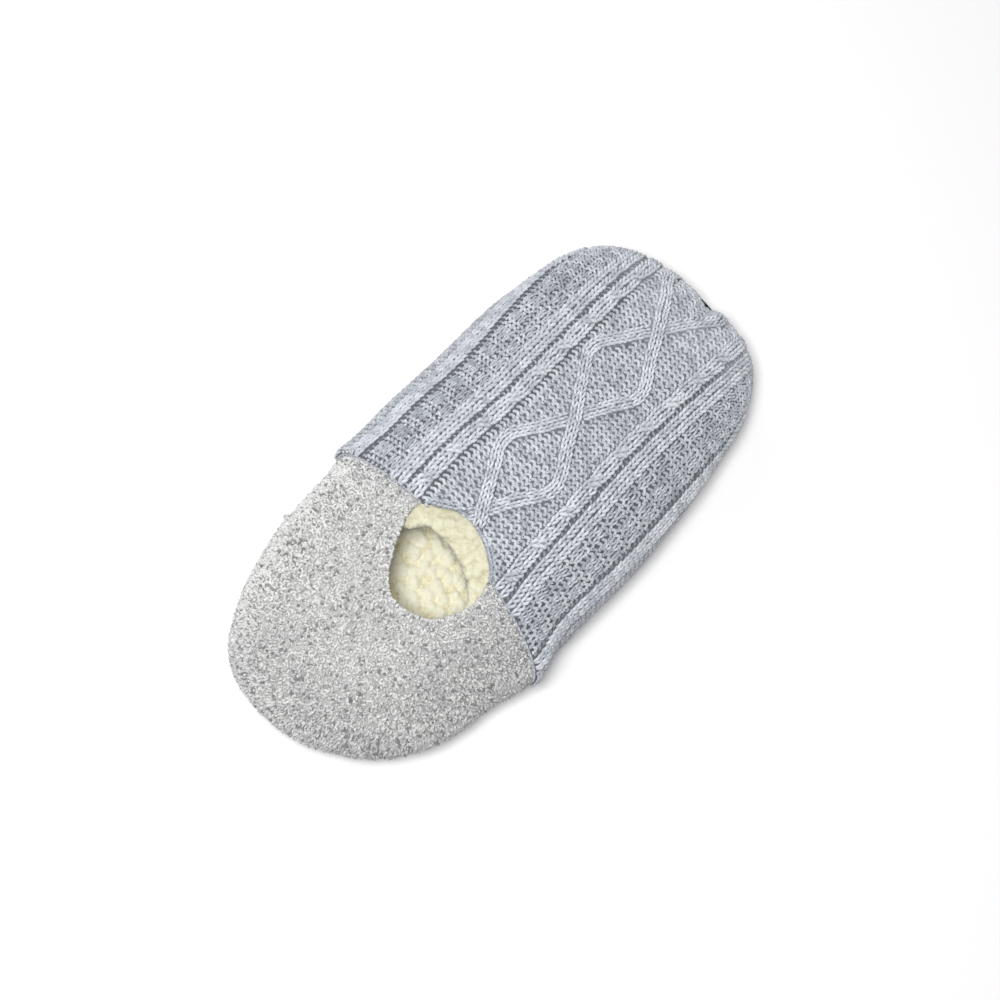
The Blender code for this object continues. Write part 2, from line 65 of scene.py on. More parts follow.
# how the slipper lies: sway, slanted and bowed seam, arch, toe spring and the gather at the toe
lie = {
    "swayY": np.array([-122, -114, -105, -90, -54, -32, -14, 26, 60, 100, 122]) * mm,
    "sway": np.array([-7.0, -4.6, -1.8, 0.1, 0.6, 2.1, 0.7, 0.8, -0.8, -1.0, 0.6]) * mm,
    "skew": -0.077,
    "skewHalf": 45 * mm,
    "bow": 5.5 * mm,
    "bowHalf": 57 * mm,
    "archLift": 1.5 * mm,
    "archMiddle": -22 * mm,
    "archHalf": 36 * mm,
    "springLift": 6 * mm,
    "springStart": 72 * mm,
    "springRun": 50 * mm,
    "toeTurn": 0.075,
    "toeTurnLeft": 32 * mm,
    "toeTurnRange": (82 * mm, 122 * mm),
    "gatherDepth": 2.2 * mm,
    "gatherX": 3.5 * mm,
    "gatherHalf": 4.5 * mm,
    "gatherStart": 108 * mm,
    "gatherRun": 14 * mm,
}
# radii of the opening by angle: the edge of the panels and of the fleece body
collar = {
    "x": 2.0 * mm,
    "y": -41.2 * mm,
    "above": 30 * mm,
    "angle": np.array([0, 30, 60, 90, 110, 135, 153, 180, 207, 235, 258, 285, 305, 330]),
    "panel": mm * np.array(
        [19.7, 19.4, 18.6, 19.8, 21.4, 22.2, 24.6, 20.2, 18, 19.3, 21.2, 20.5, 20.6, 19.4]
    ),
    "body": np.array([17, 12, 9.6, 10.4, 11.2, 13.8, 17.8, 19, 17, 18.4, 20.2, 19.5, 19.6, 18.4]) * mm,
}


def smoothTable(keys, values, at):
    slopes = np.gradient(values, keys)
    at = np.asarray(at, dtype=float)
    row = np.clip(np.searchsorted(keys, at) - 1, 0, len(keys) - 2)
    span = keys[row + 1] - keys[row]
    t = np.clip((at - keys[row]) / span, 0.0, 1.0)
    start = (1 + 2 * t) * (1 - t) ** 2 * values[row] + t * (1 - t) ** 2 * span * slopes[row]
    end = t * t * (3 - 2 * t) * values[row + 1] + t * t * (t - 1) * span * slopes[row + 1]
    before = np.minimum(at - keys[0], 0.0) * slopes[0]
    after = np.maximum(at - keys[-1], 0.0) * slopes[-1]
    return start + end + before + after


def formAt(name, y):
    return smoothTable(last["y"], last[name], y)


def mix(low, high, share):
    return low + (high - low) * share


def softHump(distance, half):
    return np.where(np.abs(distance) < half, np.cos(0.5 * np.pi * distance / half) ** 2, 0.0)


def softStep(value, low, high):
    t = np.clip((value - low) / (high - low), 0.0, 1.0)
    return t * t * (3 - 2 * t)


def unit(vectors):
    return vectors / np.maximum(np.linalg.norm(vectors, axis=-1, keepdims=True), 1e-12)


def seamPull(x, y):
    near = np.exp(-((y - last["seam"]) / lie["skewHalf"]) ** 2)
    return (lie["skew"] * x - lie["bow"] * (x / lie["bowHalf"]) ** 2) * near


def archLift(y):
    return lie["archLift"] * softHump(y - lie["archMiddle"], lie["archHalf"])


def settle(points, gathered=True):
    x, y, z = points[..., 0], points[..., 1], points[..., 2]
    if gathered:
        pull = np.exp(-((x - lie["gatherX"]) / lie["gatherHalf"]) ** 2)
        y = y - lie["gatherDepth"] * pull * np.clip((y - lie["gatherStart"]) / lie["gatherRun"], 0, 1)
    spring = np.clip((y - lie["springStart"]) / lie["springRun"], 0, None)
    lift = archLift(y) + lie["springLift"] * spring ** 2
    sway = smoothTable(lie["swayY"], lie["sway"], y)
    turn = lie["toeTurn"] * x * (1 - (np.minimum(x, 0.0) / lie["toeTurnLeft"]) ** 2)
    skew = seamPull(x, y) + turn * softStep(y, *lie["toeTurnRange"])
    return np.stack((x + sway, y + skew, z + lift), axis=-1)


def tuckDepth(y):
    return last["tuck"] + last["waist"] * softHump(y - last["waistMiddle"], last["waistHalf"])


def halfSection(zone, value, inset, count=240):
    angle = np.linspace(0, 0.5 * np.pi, count)
    pivot = {"heel": last["heelPivot"], "toe": last["toePivot"]}.get(zone, value)
    power = 2.0 / float(formAt("squareness", pivot))
    across = np.sin(angle) ** power
    inward = np.abs(np.cos(angle)) ** power
    inward[-1] = 0.0
    if zone == "body":
        y = np.full(count, value)
        rise = 1.0
    else:
        forward = -1.0 if zone == "heel" else 1.0
        fullness = 2.0 / last[zone + "Fullness"]
        y = pivot + forward * (last[zone + "Reach"] - inset) * max(math.cos(value), 0.0) ** fullness * inward
        rise = max(math.sin(value), 0.0) ** fullness
    x = (formAt("halfWidth", y) - inset) * across
    z = last["widest"] + (formAt("crown", y) - inset - last["widest"]) * rise * inward
    return np.column_stack((x, y, z))


def lengthsAlong(curve):
    return np.concatenate(([0.0], np.cumsum(np.linalg.norm(np.diff(curve, axis=0), axis=1))))


def evenly(curve, count):
    length = lengthsAlong(curve)
    marks = np.linspace(0, length[-1], count)
    return np.column_stack([np.interp(marks, length, curve[:, i]) for i in range(3)]), length[-1]


# a skin is one half of the foot: a runs round the section from the crown, v away from the seam
def skinOf(zone, inset, bodyRows=70, fanRows=60, columns=120):
    pivot = last[zone + "Pivot"]
    stations = [("body", y) for y in np.linspace(last["seam"], pivot, bodyRows)]
    stations += [(zone, t) for t in 0.5 * np.pi * (1 - np.linspace(0, 1, fanRows + 1)[1:] ** 1.15)]
    rows = [evenly(halfSection(name, value, inset), columns) for name, value in stations]
    grid = np.array([row[0] for row in rows])
    along = lengthsAlong(grid[:, 0])
    side, end = grid[:bodyRows, -1], grid[-1]
    sideIn = unit(np.column_stack((-np.ones(bodyRows), np.gradient(side[:, 0], side[:, 1]))))
    tangent = np.gradient(end, axis=0)
    endIn = unit(np.column_stack((tangent[:, 1], -tangent[:, 0])))
    toMiddle = np.column_stack((-end[:, 0], pivot - end[:, 1]))
    endIn *= np.sign((endIn * toMiddle).sum(axis=1, keepdims=True) + 1e-12)
    blend = softStep(np.linspace(0, 1, columns), 0.85, 1.0)[:, None]
    return {
        "zone": zone,
        "grid": grid,
        "half": np.array([row[1] for row in rows]),
        "along": along,
        "end": along[-1],
        "body": along[bodyRows - 1],
        "sideIn": np.vstack((sideIn, np.repeat(sideIn[-1:], fanRows, axis=0))),
        "endIn": mix(endIn, sideIn[-1], blend),
        "sense": 1.0 if zone == "toe" else -1.0,
    }


def halfAt(skin, v):
    return np.interp(v, skin["along"], skin["half"])


def skinPoint(skin, a, v):
    a, v = np.broadcast_arrays(np.asarray(a, dtype=float), np.asarray(v, dtype=float))
    grid = skin["grid"]
    rows, columns = grid.shape[:2]
    s = np.interp(v, skin["along"], np.arange(rows))
    i = np.minimum(s.astype(int), rows - 2)
    t = s - i
    half = mix(skin["half"][i], skin["half"][i + 1], t)
    j = np.clip(np.abs(a) / half, 0, 1) * (columns - 1)
    k = np.minimum(j.astype(int), columns - 2)
    w = (j - k)[..., None]
    t = t[..., None]
    point = mix(mix(grid[i, k], grid[i, k + 1], w), mix(grid[i + 1, k], grid[i + 1, k + 1], w), t)
    over = np.maximum(np.abs(a) - half, 0) / last["tuckLength"]
    past = np.maximum(v - skin["end"], 0) / last["tuckLength"]
    endIn = mix(skin["endIn"][k], skin["endIn"][k + 1], w)
    inward = np.where((past > over)[..., None], endIn, skin["sideIn"][i])
    share = np.clip(np.maximum(over, past), 0, 1)
    depth = tuckDepth(point[..., 1]) * share ** 2
    point[..., :2] += inward * depth[..., None]
    point[..., 2] = np.where(share > 0, mix(last["widest"], last["floorEdge"], share), point[..., 2])
    point[..., 0] *= np.where(a < 0, -1.0, 1.0)
    return point


def onSkin(skin, a, v, margin=0.0):
    tuck = last["tuckLength"] - margin
    reach = halfAt(skin, v) + np.where(v <= skin["body"], tuck, 0.0)
    return (np.abs(a) <= reach) & (v <= skin["end"] + tuck)


def skinFrame(skin, a, v):
    step = 0.5 * mm
    low = np.maximum(v - step, 0)
    across = settle(skinPoint(skin, a + step, v)) - settle(skinPoint(skin, a - step, v))
    along = settle(skinPoint(skin, a, v + step)) - settle(skinPoint(skin, a, low))
    normal = unit(np.cross(across, along) * skin["sense"])
    across = unit(across)
    return {
        "here": settle(skinPoint(skin, a, v)),
        "across": across,
        "along": np.cross(normal, across),
        "normal": normal,
        "stretch": np.linalg.norm(along, axis=-1) / (v + step - low),
    }


def rimRadius(rim, angle):
    keys = np.concatenate((collar["angle"] - 360, collar["angle"], collar["angle"] + 360)).astype(float)
    return smoothTable(keys, np.tile(collar[rim], 3), np.degrees(angle) % 360)


def collarAngle(points):
    return np.arctan2(points[..., 1] - collar["y"], points[..., 0] - collar["x"])


def roundCollar(angle, radius):
    return collar["x"] + radius * np.cos(angle), collar["y"] + radius * np.sin(angle)


def rimRoom(rim, points):
    away = np.hypot(points[..., 0] - collar["x"], points[..., 1] - collar["y"])
    return away - rimRadius(rim, collarAngle(points))


# height of the form over a place on the floor, and that place's length on the last
def topHeight(x, y, inset):
    x0, y0 = x, y
    for again in range(3):
        x0 = x - smoothTable(lie["swayY"], lie["sway"], y0)
        y0 = y - seamPull(x0, y0)
    square = formAt("squareness", y0)
    share = np.clip(np.abs(x0) / (formAt("halfWidth", y0) - inset), 0, 1)
    rise = formAt("crown", y0) - inset - last["widest"]
    return last["widest"] + rise * (1 - share ** square) ** (1 / square) + archLift(y0), y0


def rimSpots(angle, outside, inset):
    x, y = roundCollar(angle, rimRadius("panel", angle) + outside)
    z, y0 = topHeight(x, y, inset)
    inward = -np.column_stack((np.cos(angle), np.sin(angle), 0 * angle))
    return np.column_stack((x, y, z)), inward, y0


# rounded clumps about jittered centres, from 0 between them to 1 on top
def clumps(points, pitch, seed, reach, flat=False):
    own = np.random.default_rng(seed)
    low, high = points.min(axis=0) - pitch, points.max(axis=0) + pitch
    axes = [np.arange(low[i], high[i], pitch) if i < 2 or not flat else np.zeros(1) for i in range(3)]
    spots = np.stack(np.meshgrid(*axes, indexing="ij"), axis=-1).reshape(-1, 3)
    spots = spots + pitch * 0.9 * (own.random(spots.shape) - 0.5) * ((1, 1, 0) if flat else (1, 1, 1))
    tree = kdtree.KDTree(len(spots))
    for i, spot in enumerate(spots):
        tree.insert(spot, i)
    tree.balance()
    away = np.array([tree.find((p[0], p[1], 0.0 if flat else p[2]))[2] for p in points])
    return np.sqrt(np.clip(1 - (away / (reach * pitch)) ** 2, 0, 1))


def woolClumps(points, wool, flat):
    large = clumps(points, wool["clump"], wool["seed"], wool["clumpReach"], flat)
    small = clumps(points, wool["tuft"] * wool["clump"], wool["seed"] + 1, wool["tuftReach"], flat)
    return 0.72 * large + 0.28 * small


# mesh helpers
def placed(name, data):
    made = bpy.data.objects.new(name, data)
    scene.collection.objects.link(made)
    return made


def addLayer(mesh, label, kind, field, values):
    layer = mesh.attributes.new(label, kind, "POINT")
    layer.data.foreach_set(field, np.ascontiguousarray(values).ravel())


def meshPiece(name, points, faces, material, tint=None):
    mesh = bpy.data.meshes.new(name)
    mesh.from_pydata((np.asarray(points) - last["shift"]).tolist(), [], [list(map(int, f)) for f in faces])
    if tint is not None:
        addLayer(mesh, "tint", "FLOAT", "value", tint)
    mesh.validate()
    mesh.shade_smooth()
    mesh.materials.append(material)
    return placed(name, mesh)


def gridFaces(rows, columns, start=0, flip=False, closed=False):
    faces = []
    for row in range(rows - 1):
        first, second = start + row * columns, start + (row + 1) * columns
        for i in range(columns if closed else columns - 1):
            j = (i + 1) % columns
            face = (first + i, first + j, second + j, second + i)
            faces.append(face[::-1] if flip else face)
    return faces


def bandFaces(lines, closed=True):
    return np.vstack(lines), gridFaces(len(lines), len(lines[0]), closed=closed)


def joinSheets(*sheets):
    points, faces, start = [], [], 0
    for sheetPoints, sheetFaces in sheets:
        points.append(sheetPoints)
        faces += [tuple(i + start for i in f) for f in sheetFaces]
        start += len(sheetPoints)
    return np.vstack(points), faces


# one side of a wall over a skin: dome, side tuck and end tuck, open inside the collar rim
def skinSheet(skin, height, rim, columns, bodyRows, fanRows, edge=0.0, tuckRows=8):
    shares = np.linspace(-1, 1, 2 * columns + 1)[None, :]
    tuck = np.linspace(0, last["tuckLength"], tuckRows + 1)[1:]
    bodyV = np.linspace(0, skin["body"], bodyRows)[:, None]
    fanV = np.linspace(skin["body"], skin["end"], fanRows)[:, None]
    endV = skin["end"] + np.concatenate(([0.0], tuck))[:, None]
    bodyHalf = halfAt(skin, bodyV)
    side = bodyHalf + tuck
    blocks = (
        (np.hstack((-side[:, ::-1], shares * bodyHalf, side)), bodyV),
        (shares * halfAt(skin, fanV), fanV),
        (shares * skin["half"][-1], endV),
    )
    points, faces, start = [], [], 0
    for a, v in blocks:
        a, v = np.broadcast_arrays(a, v)
        at = skinFrame(skin, a, v)
        wall = at["here"] + at["normal"] * height(a, v)[..., None]
        if edge and v[0, 0] == 0.0:
            wall = np.vstack(((wall[0] - at["normal"][0] * edge)[None], wall))
        rows, count = wall.shape[:2]
        points.append(wall.reshape(-1, 3))
        faces += gridFaces(rows, count, start, flip=skin["sense"] < 0)
        start += rows * count
    points = np.vstack(points)
    return openRim(points, faces, rim) if rim else (points, faces)


def openRim(points, faces, rim):
    inside = (rimRoom(rim, points) < 0) & (points[:, 2] > collar["above"])
    angle = collarAngle(points[inside])
    points[inside, :2] = np.column_stack(roundCollar(angle, rimRadius(rim, angle)))
    return points, [f for f in faces if not all(inside[i] for i in f)]


def rimBand(inner, outer, startAngle):
    order = np.argsort((collarAngle(outer) - startAngle) % (2 * np.pi))
    return bandFaces([inner[order], outer[order]], closed=False)


def tube(path, radii, sides):
    path = np.asarray(path, dtype=float)
    tangent = unit(np.gradient(path, axis=0))
    side = unit(np.cross(tangent, (0.0, 0.0, 1.0)))
    top = np.cross(side, tangent)
    turn = np.linspace(0, 2 * np.pi, sides, endpoint=False)
    ring = np.cos(turn)[None, :, None] * side[:, None] + np.sin(turn)[None, :, None] * top[:, None]
    points = path[:, None] + ring * np.asarray(radii, dtype=float)[:, None, None]
    along = np.repeat(np.linspace(0, 1, len(path)), sides)
    around = np.tile(turn / (2 * np.pi), len(path))
    return points.reshape(-1, 3), gridFaces(len(path), sides, closed=True), along, around


# a small repeated shape, with its own way along and around the yarn
def yarnShape(name, *tubes):
    made = [tube(np.asarray(path) * mm, np.asarray(radii) * mm, sides) for path, radii, sides in tubes]
    points, faces = joinSheets(*(one[:2] for one in made))
    mesh = bpy.data.meshes.new(name)
    mesh.from_pydata(points.tolist(), [], faces)
    mesh.shade_smooth()
    for label, column in (("along", 2), ("around", 3)):
        addLayer(mesh, label, "FLOAT", "value", np.concatenate([one[column] for one in made]))
    shape = placed(name, mesh)
    shape.hide_render = True
    return shape


# node helpers: an input is a value or the socket it is linked from
def addNode(tree, kind, inputs=None, **settings):
    node = tree.nodes.new(kind)
    for key, value in settings.items():
        setattr(node, key, value)
    for key, value in (inputs or {}).items():
        if isinstance(value, bpy.types.NodeSocket):
            tree.links.new(value, node.inputs[key])
        else:
            node.inputs[key].default_value = value
    return node


def mathNode(tree, kind, first, second=0.5, clamp=False):
    return addNode(tree, "ShaderNodeMath", {0: first, 1: second}, operation=kind, use_clamp=clamp).outputs[0]


def shown(sockets, *names):
    return [s for s in sockets if s.enabled and (s.name in names or not names)]


# puts one of the shapes on each spot, turned, sized and tinted by the spot's own attributes
def growTree(count):
    tree = bpy.data.node_groups.new("growOnSpots", "GeometryNodeTree")
    shapeNames = ["Shape " + str(i) for i in range(count)]
    sockets = [("Geometry", "Geometry")] + [(label, "Object") for label in shapeNames]
    sockets += [("Finish", "Material"), ("Seed", "Int"), ("Uneven", "Float")]
    for label, kind in sockets:
        tree.interface.new_socket(label, in_out="INPUT", socket_type="NodeSocket" + kind)
    tree.interface.new_socket("Geometry", in_out="OUTPUT", socket_type="NodeSocketGeometry")
    given = addNode(tree, "NodeGroupInput").outputs

    def named(label, kind):
        node = addNode(tree, "GeometryNodeInputNamedAttribute", {"Name": label}, data_type=kind)
        return shown(node.outputs, "Attribute")[0]

    spot = {"Points": given["Geometry"]}
    spot["Rotation"], spot["Scale"] = named("turn", "QUATERNION"), named("size", "FLOAT_VECTOR")
    kind = named("kind", "INT")
    join = addNode(tree, "GeometryNodeJoinGeometry")
    for i, label in enumerate(shapeNames):
        same = addNode(tree, "FunctionNodeCompare", data_type="INT", operation="EQUAL")
        first, second = shown(same.inputs)[:2]
        tree.links.new(kind, first)
        second.default_value = i
        info = addNode(tree, "GeometryNodeObjectInfo", {"Object": given[label]})
        chosen = {"Selection": same.outputs["Result"], "Instance": info.outputs["Geometry"]}
        place = addNode(tree, "GeometryNodeInstanceOnPoints", spot | chosen)
        tree.links.new(place.outputs["Instances"], join.inputs["Geometry"])
    chance = addNode(tree, "FunctionNodeRandomValue", {"Seed": given["Seed"]}, data_type="FLOAT")
    low, high = shown(chance.inputs, "Min", "Max")
    low.default_value = -0.5
    high.default_value = 0.5
    uneven = mathNode(tree, "MULTIPLY", shown(chance.outputs)[0], given["Uneven"])
    tint = mathNode(tree, "ADD", uneven, named("shade", "FLOAT"))
    joined = {"Geometry": join.outputs["Geometry"], "Name": "tint"}
    store = addNode(tree, "GeometryNodeStoreNamedAttribute", joined, data_type="FLOAT", domain="INSTANCE")
    tree.links.new(tint, shown(store.inputs, "Value")[0])
    real = addNode(tree, "GeometryNodeRealizeInstances", {"Geometry": store.outputs["Geometry"]})
    finish = {"Geometry": real.outputs["Geometry"], "Material": given["Finish"]}
    finished = addNode(tree, "GeometryNodeSetMaterial", finish)
    addNode(tree, "NodeGroupOutput", {"Geometry": finished.outputs["Geometry"]})
    return tree


def grow(name, spots, shapes, material, seed, uneven):
    mesh = bpy.data.meshes.new(name + "Spots")
    mesh.from_pydata((spots["points"] - last["shift"]).tolist(), [], [])
    addLayer(mesh, "turn", "QUATERNION", "value", spots["turns"])
    addLayer(mesh, "size", "FLOAT_VECTOR", "vector", spots["sizes"])
    addLayer(mesh, "kind", "INT", "value", spots["kinds"])
    addLayer(mesh, "shade", "FLOAT", "value", spots["shades"])
    carrier = placed(name + "Spots", mesh)
    tree = growTree(len(shapes))
    grown = carrier.modifiers.new("grow", "NODES")
    grown.node_group = tree
    inputs = {s.name: s.identifier for s in tree.interface.items_tree if s.in_out == "INPUT"}
    for i, shape in enumerate(shapes):
        grown[inputs["Shape " + str(i)]] = shape
    grown[inputs["Finish"]] = material
    grown[inputs["Seed"]] = seed
    grown[inputs["Uneven"]] = uneven
    graph = bpy.context.evaluated_depsgraph_get()
    plain = bpy.data.meshes.new_from_object(carrier.evaluated_get(graph))
    plain.name = name
    plain.shade_smooth()
    piece = placed(name, plain)
    carrier.modifiers.remove(grown)
    bpy.data.objects.remove(carrier, do_unlink=True)
    bpy.data.node_groups.remove(tree)
    triangles = sum(len(p.vertices) - 2 for p in plain.polygons)
    print("grown", name, len(spots["points"]), "shapes", triangles, "triangles")
    return piece


# spots are dictionaries of arrays, a row for each stitch or nub
def turnsOf(x, y, z):
    made = np.empty((len(x), 4))
    for i in range(len(x)):
        made[i] = Matrix((x[i], y[i], z[i])).transposed().to_quaternion()
    return made


def joinSpots(parts):
    return {key: np.concatenate([p[key] for p in parts]) for key in parts[0]}


def keepSpots(spots, keep):
    return {key: value[keep] for key, value in spots.items()}


# material helpers
def newMaterial(name, roughness, sheen=0.0):
    made = bpy.data.materials.new(name)
    made.use_nodes = True
    shader = made.node_tree.nodes["Principled BSDF"].inputs
    shader["Roughness"].default_value = roughness
    shader["Specular IOR Level"].default_value = 0.2
    shader["Sheen Weight"].default_value = sheen
    shader["Sheen Roughness"].default_value = 0.6
    return made, shader


def noiseNode(tree, coords, scale, detail=2.0, rough=0.6):
    inputs = {"Vector": coords, "Scale": scale, "Detail": detail, "Roughness": rough}
    return addNode(tree, "ShaderNodeTexNoise", inputs).outputs["Fac"]


def attributeNode(tree, label):
    return addNode(tree, "ShaderNodeAttribute", attribute_name=label).outputs["Fac"]


def aboutMiddle(calc, source, amount):
    return calc("MULTIPLY", calc("SUBTRACT", source, 0.5), amount)


def finishBy(tree, shader, value, colours, bump):
    ramp = addNode(tree, "ShaderNodeValToRGB", {"Fac": value})
    elements = ramp.color_ramp.elements
    while len(elements) < len(colours):
        elements.new(0.5)
    for element, (place, colour) in zip(elements, colours):
        element.position = place
        element.color = (*colour, 1.0)
    tree.links.new(ramp.outputs["Color"], shader["Base Color"])
    tree.links.new(addNode(tree, "ShaderNodeBump", bump).outputs["Normal"], shader["Normal"])


# yarn: tint of the stitch, flecks along it and the twist of its plies, with painted shade darkening it
# towards the root where the yarn asks for it
def yarnMaterial(name, yarn):
    made, shader = newMaterial(name, 0.92, yarn["sheen"])
    tree = made.node_tree
    coords = addNode(tree, "ShaderNodeTexCoord").outputs["Object"]
    calc, noise = partial(mathNode, tree), partial(noiseNode, tree, coords)
    along = attributeNode(tree, "along")
    around = calc("MULTIPLY", attributeNode(tree, "around"), math.tau * yarn["plies"])
    ply = calc("SINE", calc("ADD", calc("MULTIPLY", along, yarn["twist"]), around))
    flecks, patches = noise(1100.0, rough=0.7), noise(60.0, rough=0.5)
    value = calc("ADD", attributeNode(tree, "tint"), aboutMiddle(calc, flecks, 2 * yarn["fleck"]))
    value = calc("ADD", value, aboutMiddle(calc, patches, 0.25))
    # painted shade: darker towards the root, where the yarn leaves the ground
    if yarn["paintedRootShade"]:
        value = calc("SUBTRACT", value, calc("MULTIPLY", calc("SUBTRACT", 1.0, along), yarn["paintedRootShade"]))
    value = calc("ADD", value, calc("MULTIPLY", ply, 0.07), True)
    height = calc("ADD", calc("MULTIPLY", ply, 0.5), noise(2600.0))
    bump = {"Height": height, "Strength": 0.5, "Distance": 0.25 * mm}
    finishBy(tree, shader, value, yarn["colours"], bump)
    return made


# cloth: soft lumps and a finer grain, with painted shade from the piece's tint attribute where it has one
def clothMaterial(name, cloth):
    made, shader = newMaterial(name, 0.95, cloth["sheen"])
    tree = made.node_tree
    coords = addNode(tree, "ShaderNodeTexCoord").outputs["Object"]
    calc, noise = partial(mathNode, tree), partial(noiseNode, tree, coords)
    lumps, grain = noise(cloth["lumps"], detail=3.0), noise(cloth["grain"])
    value = calc("ADD", calc("MULTIPLY", lumps, 0.65), calc("MULTIPLY", grain, 0.35))
    bump = {"Height": value, "Strength": 0.7, "Distance": cloth["bump"]}
    # painted shade carried by the tint attribute: darker in hollows between clumps, or lighter where the
    # ground's painted shade is eased
    if cloth["paintedShadeByTint"]:
        value = calc("ADD", value, aboutMiddle(calc, attributeNode(tree, "tint"), cloth["paintedShadeByTint"]))
    finishBy(tree, shader, value, cloth["colours"], bump)
    return made


# camera at the photograph's angle: above and behind the heel, rolled so the toe points up and right
view = {
    "elevation": 74.0,
    "distance": 0.95,
    "aim": (0.0, 0.0, 0.028),
    "frameWidth": 0.3905,
    "sensor": 36.0,
    "toeAcross": 0.71016,
    "toeUp": 0.70404,
    "moveRight": -1.40 * mm,
    "moveUp": 0.55 * mm,
}
tilt = math.radians(view["elevation"])
upright = Vector((0.0, math.sin(tilt), math.cos(tilt)))
back = Vector((0.0, -math.cos(tilt), math.sin(tilt)))
right = Vector((1.0, 0.0, 0.0)) * view["toeUp"] + upright * view["toeAcross"]
up = Vector((-1.0, 0.0, 0.0)) * view["toeAcross"] + upright * view["toeUp"]
cameraData = bpy.data.cameras.new("camera")
cameraData.sensor_width = view["sensor"]
cameraData.lens = view["sensor"] * view["distance"] / view["frameWidth"]
cameraData.clip_start = 0.05
cameraData.clip_end = 20.0
camera = placed("camera", cameraData)
cameraPlace = Matrix((right, up, back)).transposed().to_4x4()
cameraPlace.translation = (
    Vector(view["aim"]) + back * view["distance"] + right * view["moveRight"] + up * view["moveUp"]
)
camera.matrix_world = cameraPlace
scene.camera = camera
print("camera set")

# light: broad key from above the camera, softer ones from the slipper's left and front, pale surround
studio = {
    "world": 0.21,
    "floorColour": (0.97, 0.97, 0.97),
    "floorHalf": 4.0,
    "target": (0.0, 0.0, 0.02),
    "lights": {  # power, size and place
        "key": (11.6, 0.28, (-0.09, -0.33, 1.11)),
        "left": (2.9, 0.8, (-1.0, 0.1, 0.7)),
        "front": (1.8, 0.8, (-0.2, 1.0, 0.9)),
    },
}
world = bpy.data.worlds.new("studio")
scene.world = world
world.use_nodes = True
world.node_tree.nodes["Background"].inputs["Color"].default_value = (1.0, 1.0, 1.0, 1.0)
world.node_tree.nodes["Background"].inputs["Strength"].default_value = studio["world"]
scene.view_settings.view_transform = "Standard"


def areaLight(name, power, size, position):
    data = bpy.data.lights.new(name, "AREA")
    data.energy = power
    data.size = size
    light = placed(name, data)
    light.location = position
    light.rotation_mode = "QUATERNION"
    light.rotation_quaternion = (Vector(studio["target"]) - Vector(position)).to_track_quat("-Z", "Y")


for lightName, settings in studio["lights"].items():
    areaLight(lightName, *settings)

floorMaterial, floorShader = newMaterial("paleFloor", 0.9)
floorShader["Base Color"].default_value = (*studio["floorColour"], 1.0)
floorMesh = bpy.data.meshes.new("floor")
floorHalf = studio["floorHalf"]
floorCorners = [(-floorHalf, -floorHalf, 0), (floorHalf, -floorHalf, 0), (floorHalf, floorHalf, 0)]
floorMesh.from_pydata(floorCorners + [(-floorHalf, floorHalf, 0)], [], [(0, 1, 2, 3)])
floorMesh.materials.append(floorMaterial)
floor = placed("floor", floorMesh)
print("light and floor set")

toeSkin = skinOf("toe", 0.0)
heelSkin = skinOf("heel", 0.0)

# main creases: round the foot, away from the seam, turn from across, half length, half width, rise
creases = {
    "toe": [
        (5, 141, 85, 15, 3.0, -0.9),
        (-9, 143, 70, 13, 3.0, 0.5),
        (-19, 141, 60, 14, 3.2, -0.5),
        (17, 142, 100, 13, 3.0, 0.5),
        (29, 139, 115, 15, 3.4, -0.5),
        (66, 15, -38, 24, 4.5, -1.0),
        (55, 7, -30, 16, 4.0, 0.6),
        (-64, 13, 40, 20, 4.5, -0.8),
        (-40, 6, 12, 18, 4.0, -0.4),
        (47, 62, 86, 45, 4.0, -0.4),
    ],
    "heel": [
        (-52, 22, -35, 24, 6.0, -0.9),
        (50, 18, 40, 22, 6.0, -0.9),
        (-38, 62, 25, 24, 7.0, -0.7),
        (36, 70, -30, 26, 8.0, -0.9),
        (2, 88, 5, 30, 7.0, -0.5),
    ],
}


def creased(skin, a, v):
    height = np.zeros(np.broadcast(a, v).shape)
    for atA, atV, turn, half, width, rise in creases[skin["zone"]]:
        t = math.radians(turn)
        da, dv = (a - atA * mm), (v - atV * mm)
        length = da * math.cos(t) + dv * math.sin(t)
        off = dv * math.cos(t) - da * math.sin(t)
        height = height + rise * mm * softHump(length, half * mm) * np.exp(-(off / (width * mm)) ** 2)
    return height


# drift of the cables away from the middle, by length from the seam
drift = {
    "length": np.array([0, 22, 60, 104, 135]) * mm,
    "leftInner": np.array([3.9, 3.7, 2.4, 1.4, 1.6]) * mm,
    "leftOuter": np.array([0.4, -0.4, -1.8, -0.4, 0.0]) * mm,
    "rightInner": np.array([0.6, 0.4, -1.6, 0.2, 1.9]) * mm,
    "rightOuter": np.array([-0.2, -0.4, -0.4, -0.2, 0.6]) * mm,
    "knots": np.array([0, 18.7, 34.0, 51.0, 60.0, 80.0]) * mm,
}


def drifted(a, v, back=False):
    a, v = np.broadcast_arrays(np.asarray(a, dtype=float), np.asarray(v, dtype=float))
    at = np.clip(v, 0, drift["length"][-1])
    rings = []
    for ring in ("Inner", "Outer"):
        sides = [smoothTable(drift["length"], drift[side + ring], at) for side in ("left", "right")]
        rings.append(np.where(a < 0, *sides))
    moves = [0 * a, rings[0], rings[0], rings[1], rings[1], 0 * a]
    off = np.abs(a)
    made = off.copy()
    for i in range(len(moves) - 1):
        plain = [drift["knots"][i + k] + 0 * a for k in (0, 1)]
        moved = [drift["knots"][i + k] + moves[i + k] for k in (0, 1)]
        source, result = (moved, plain) if back else (plain, moved)
        share = (off - source[0]) / (source[1] - source[0])
        made = np.where((share >= 0) & (share < 1), mix(*result, share), made)
    return np.where(a < 0, -made, made)


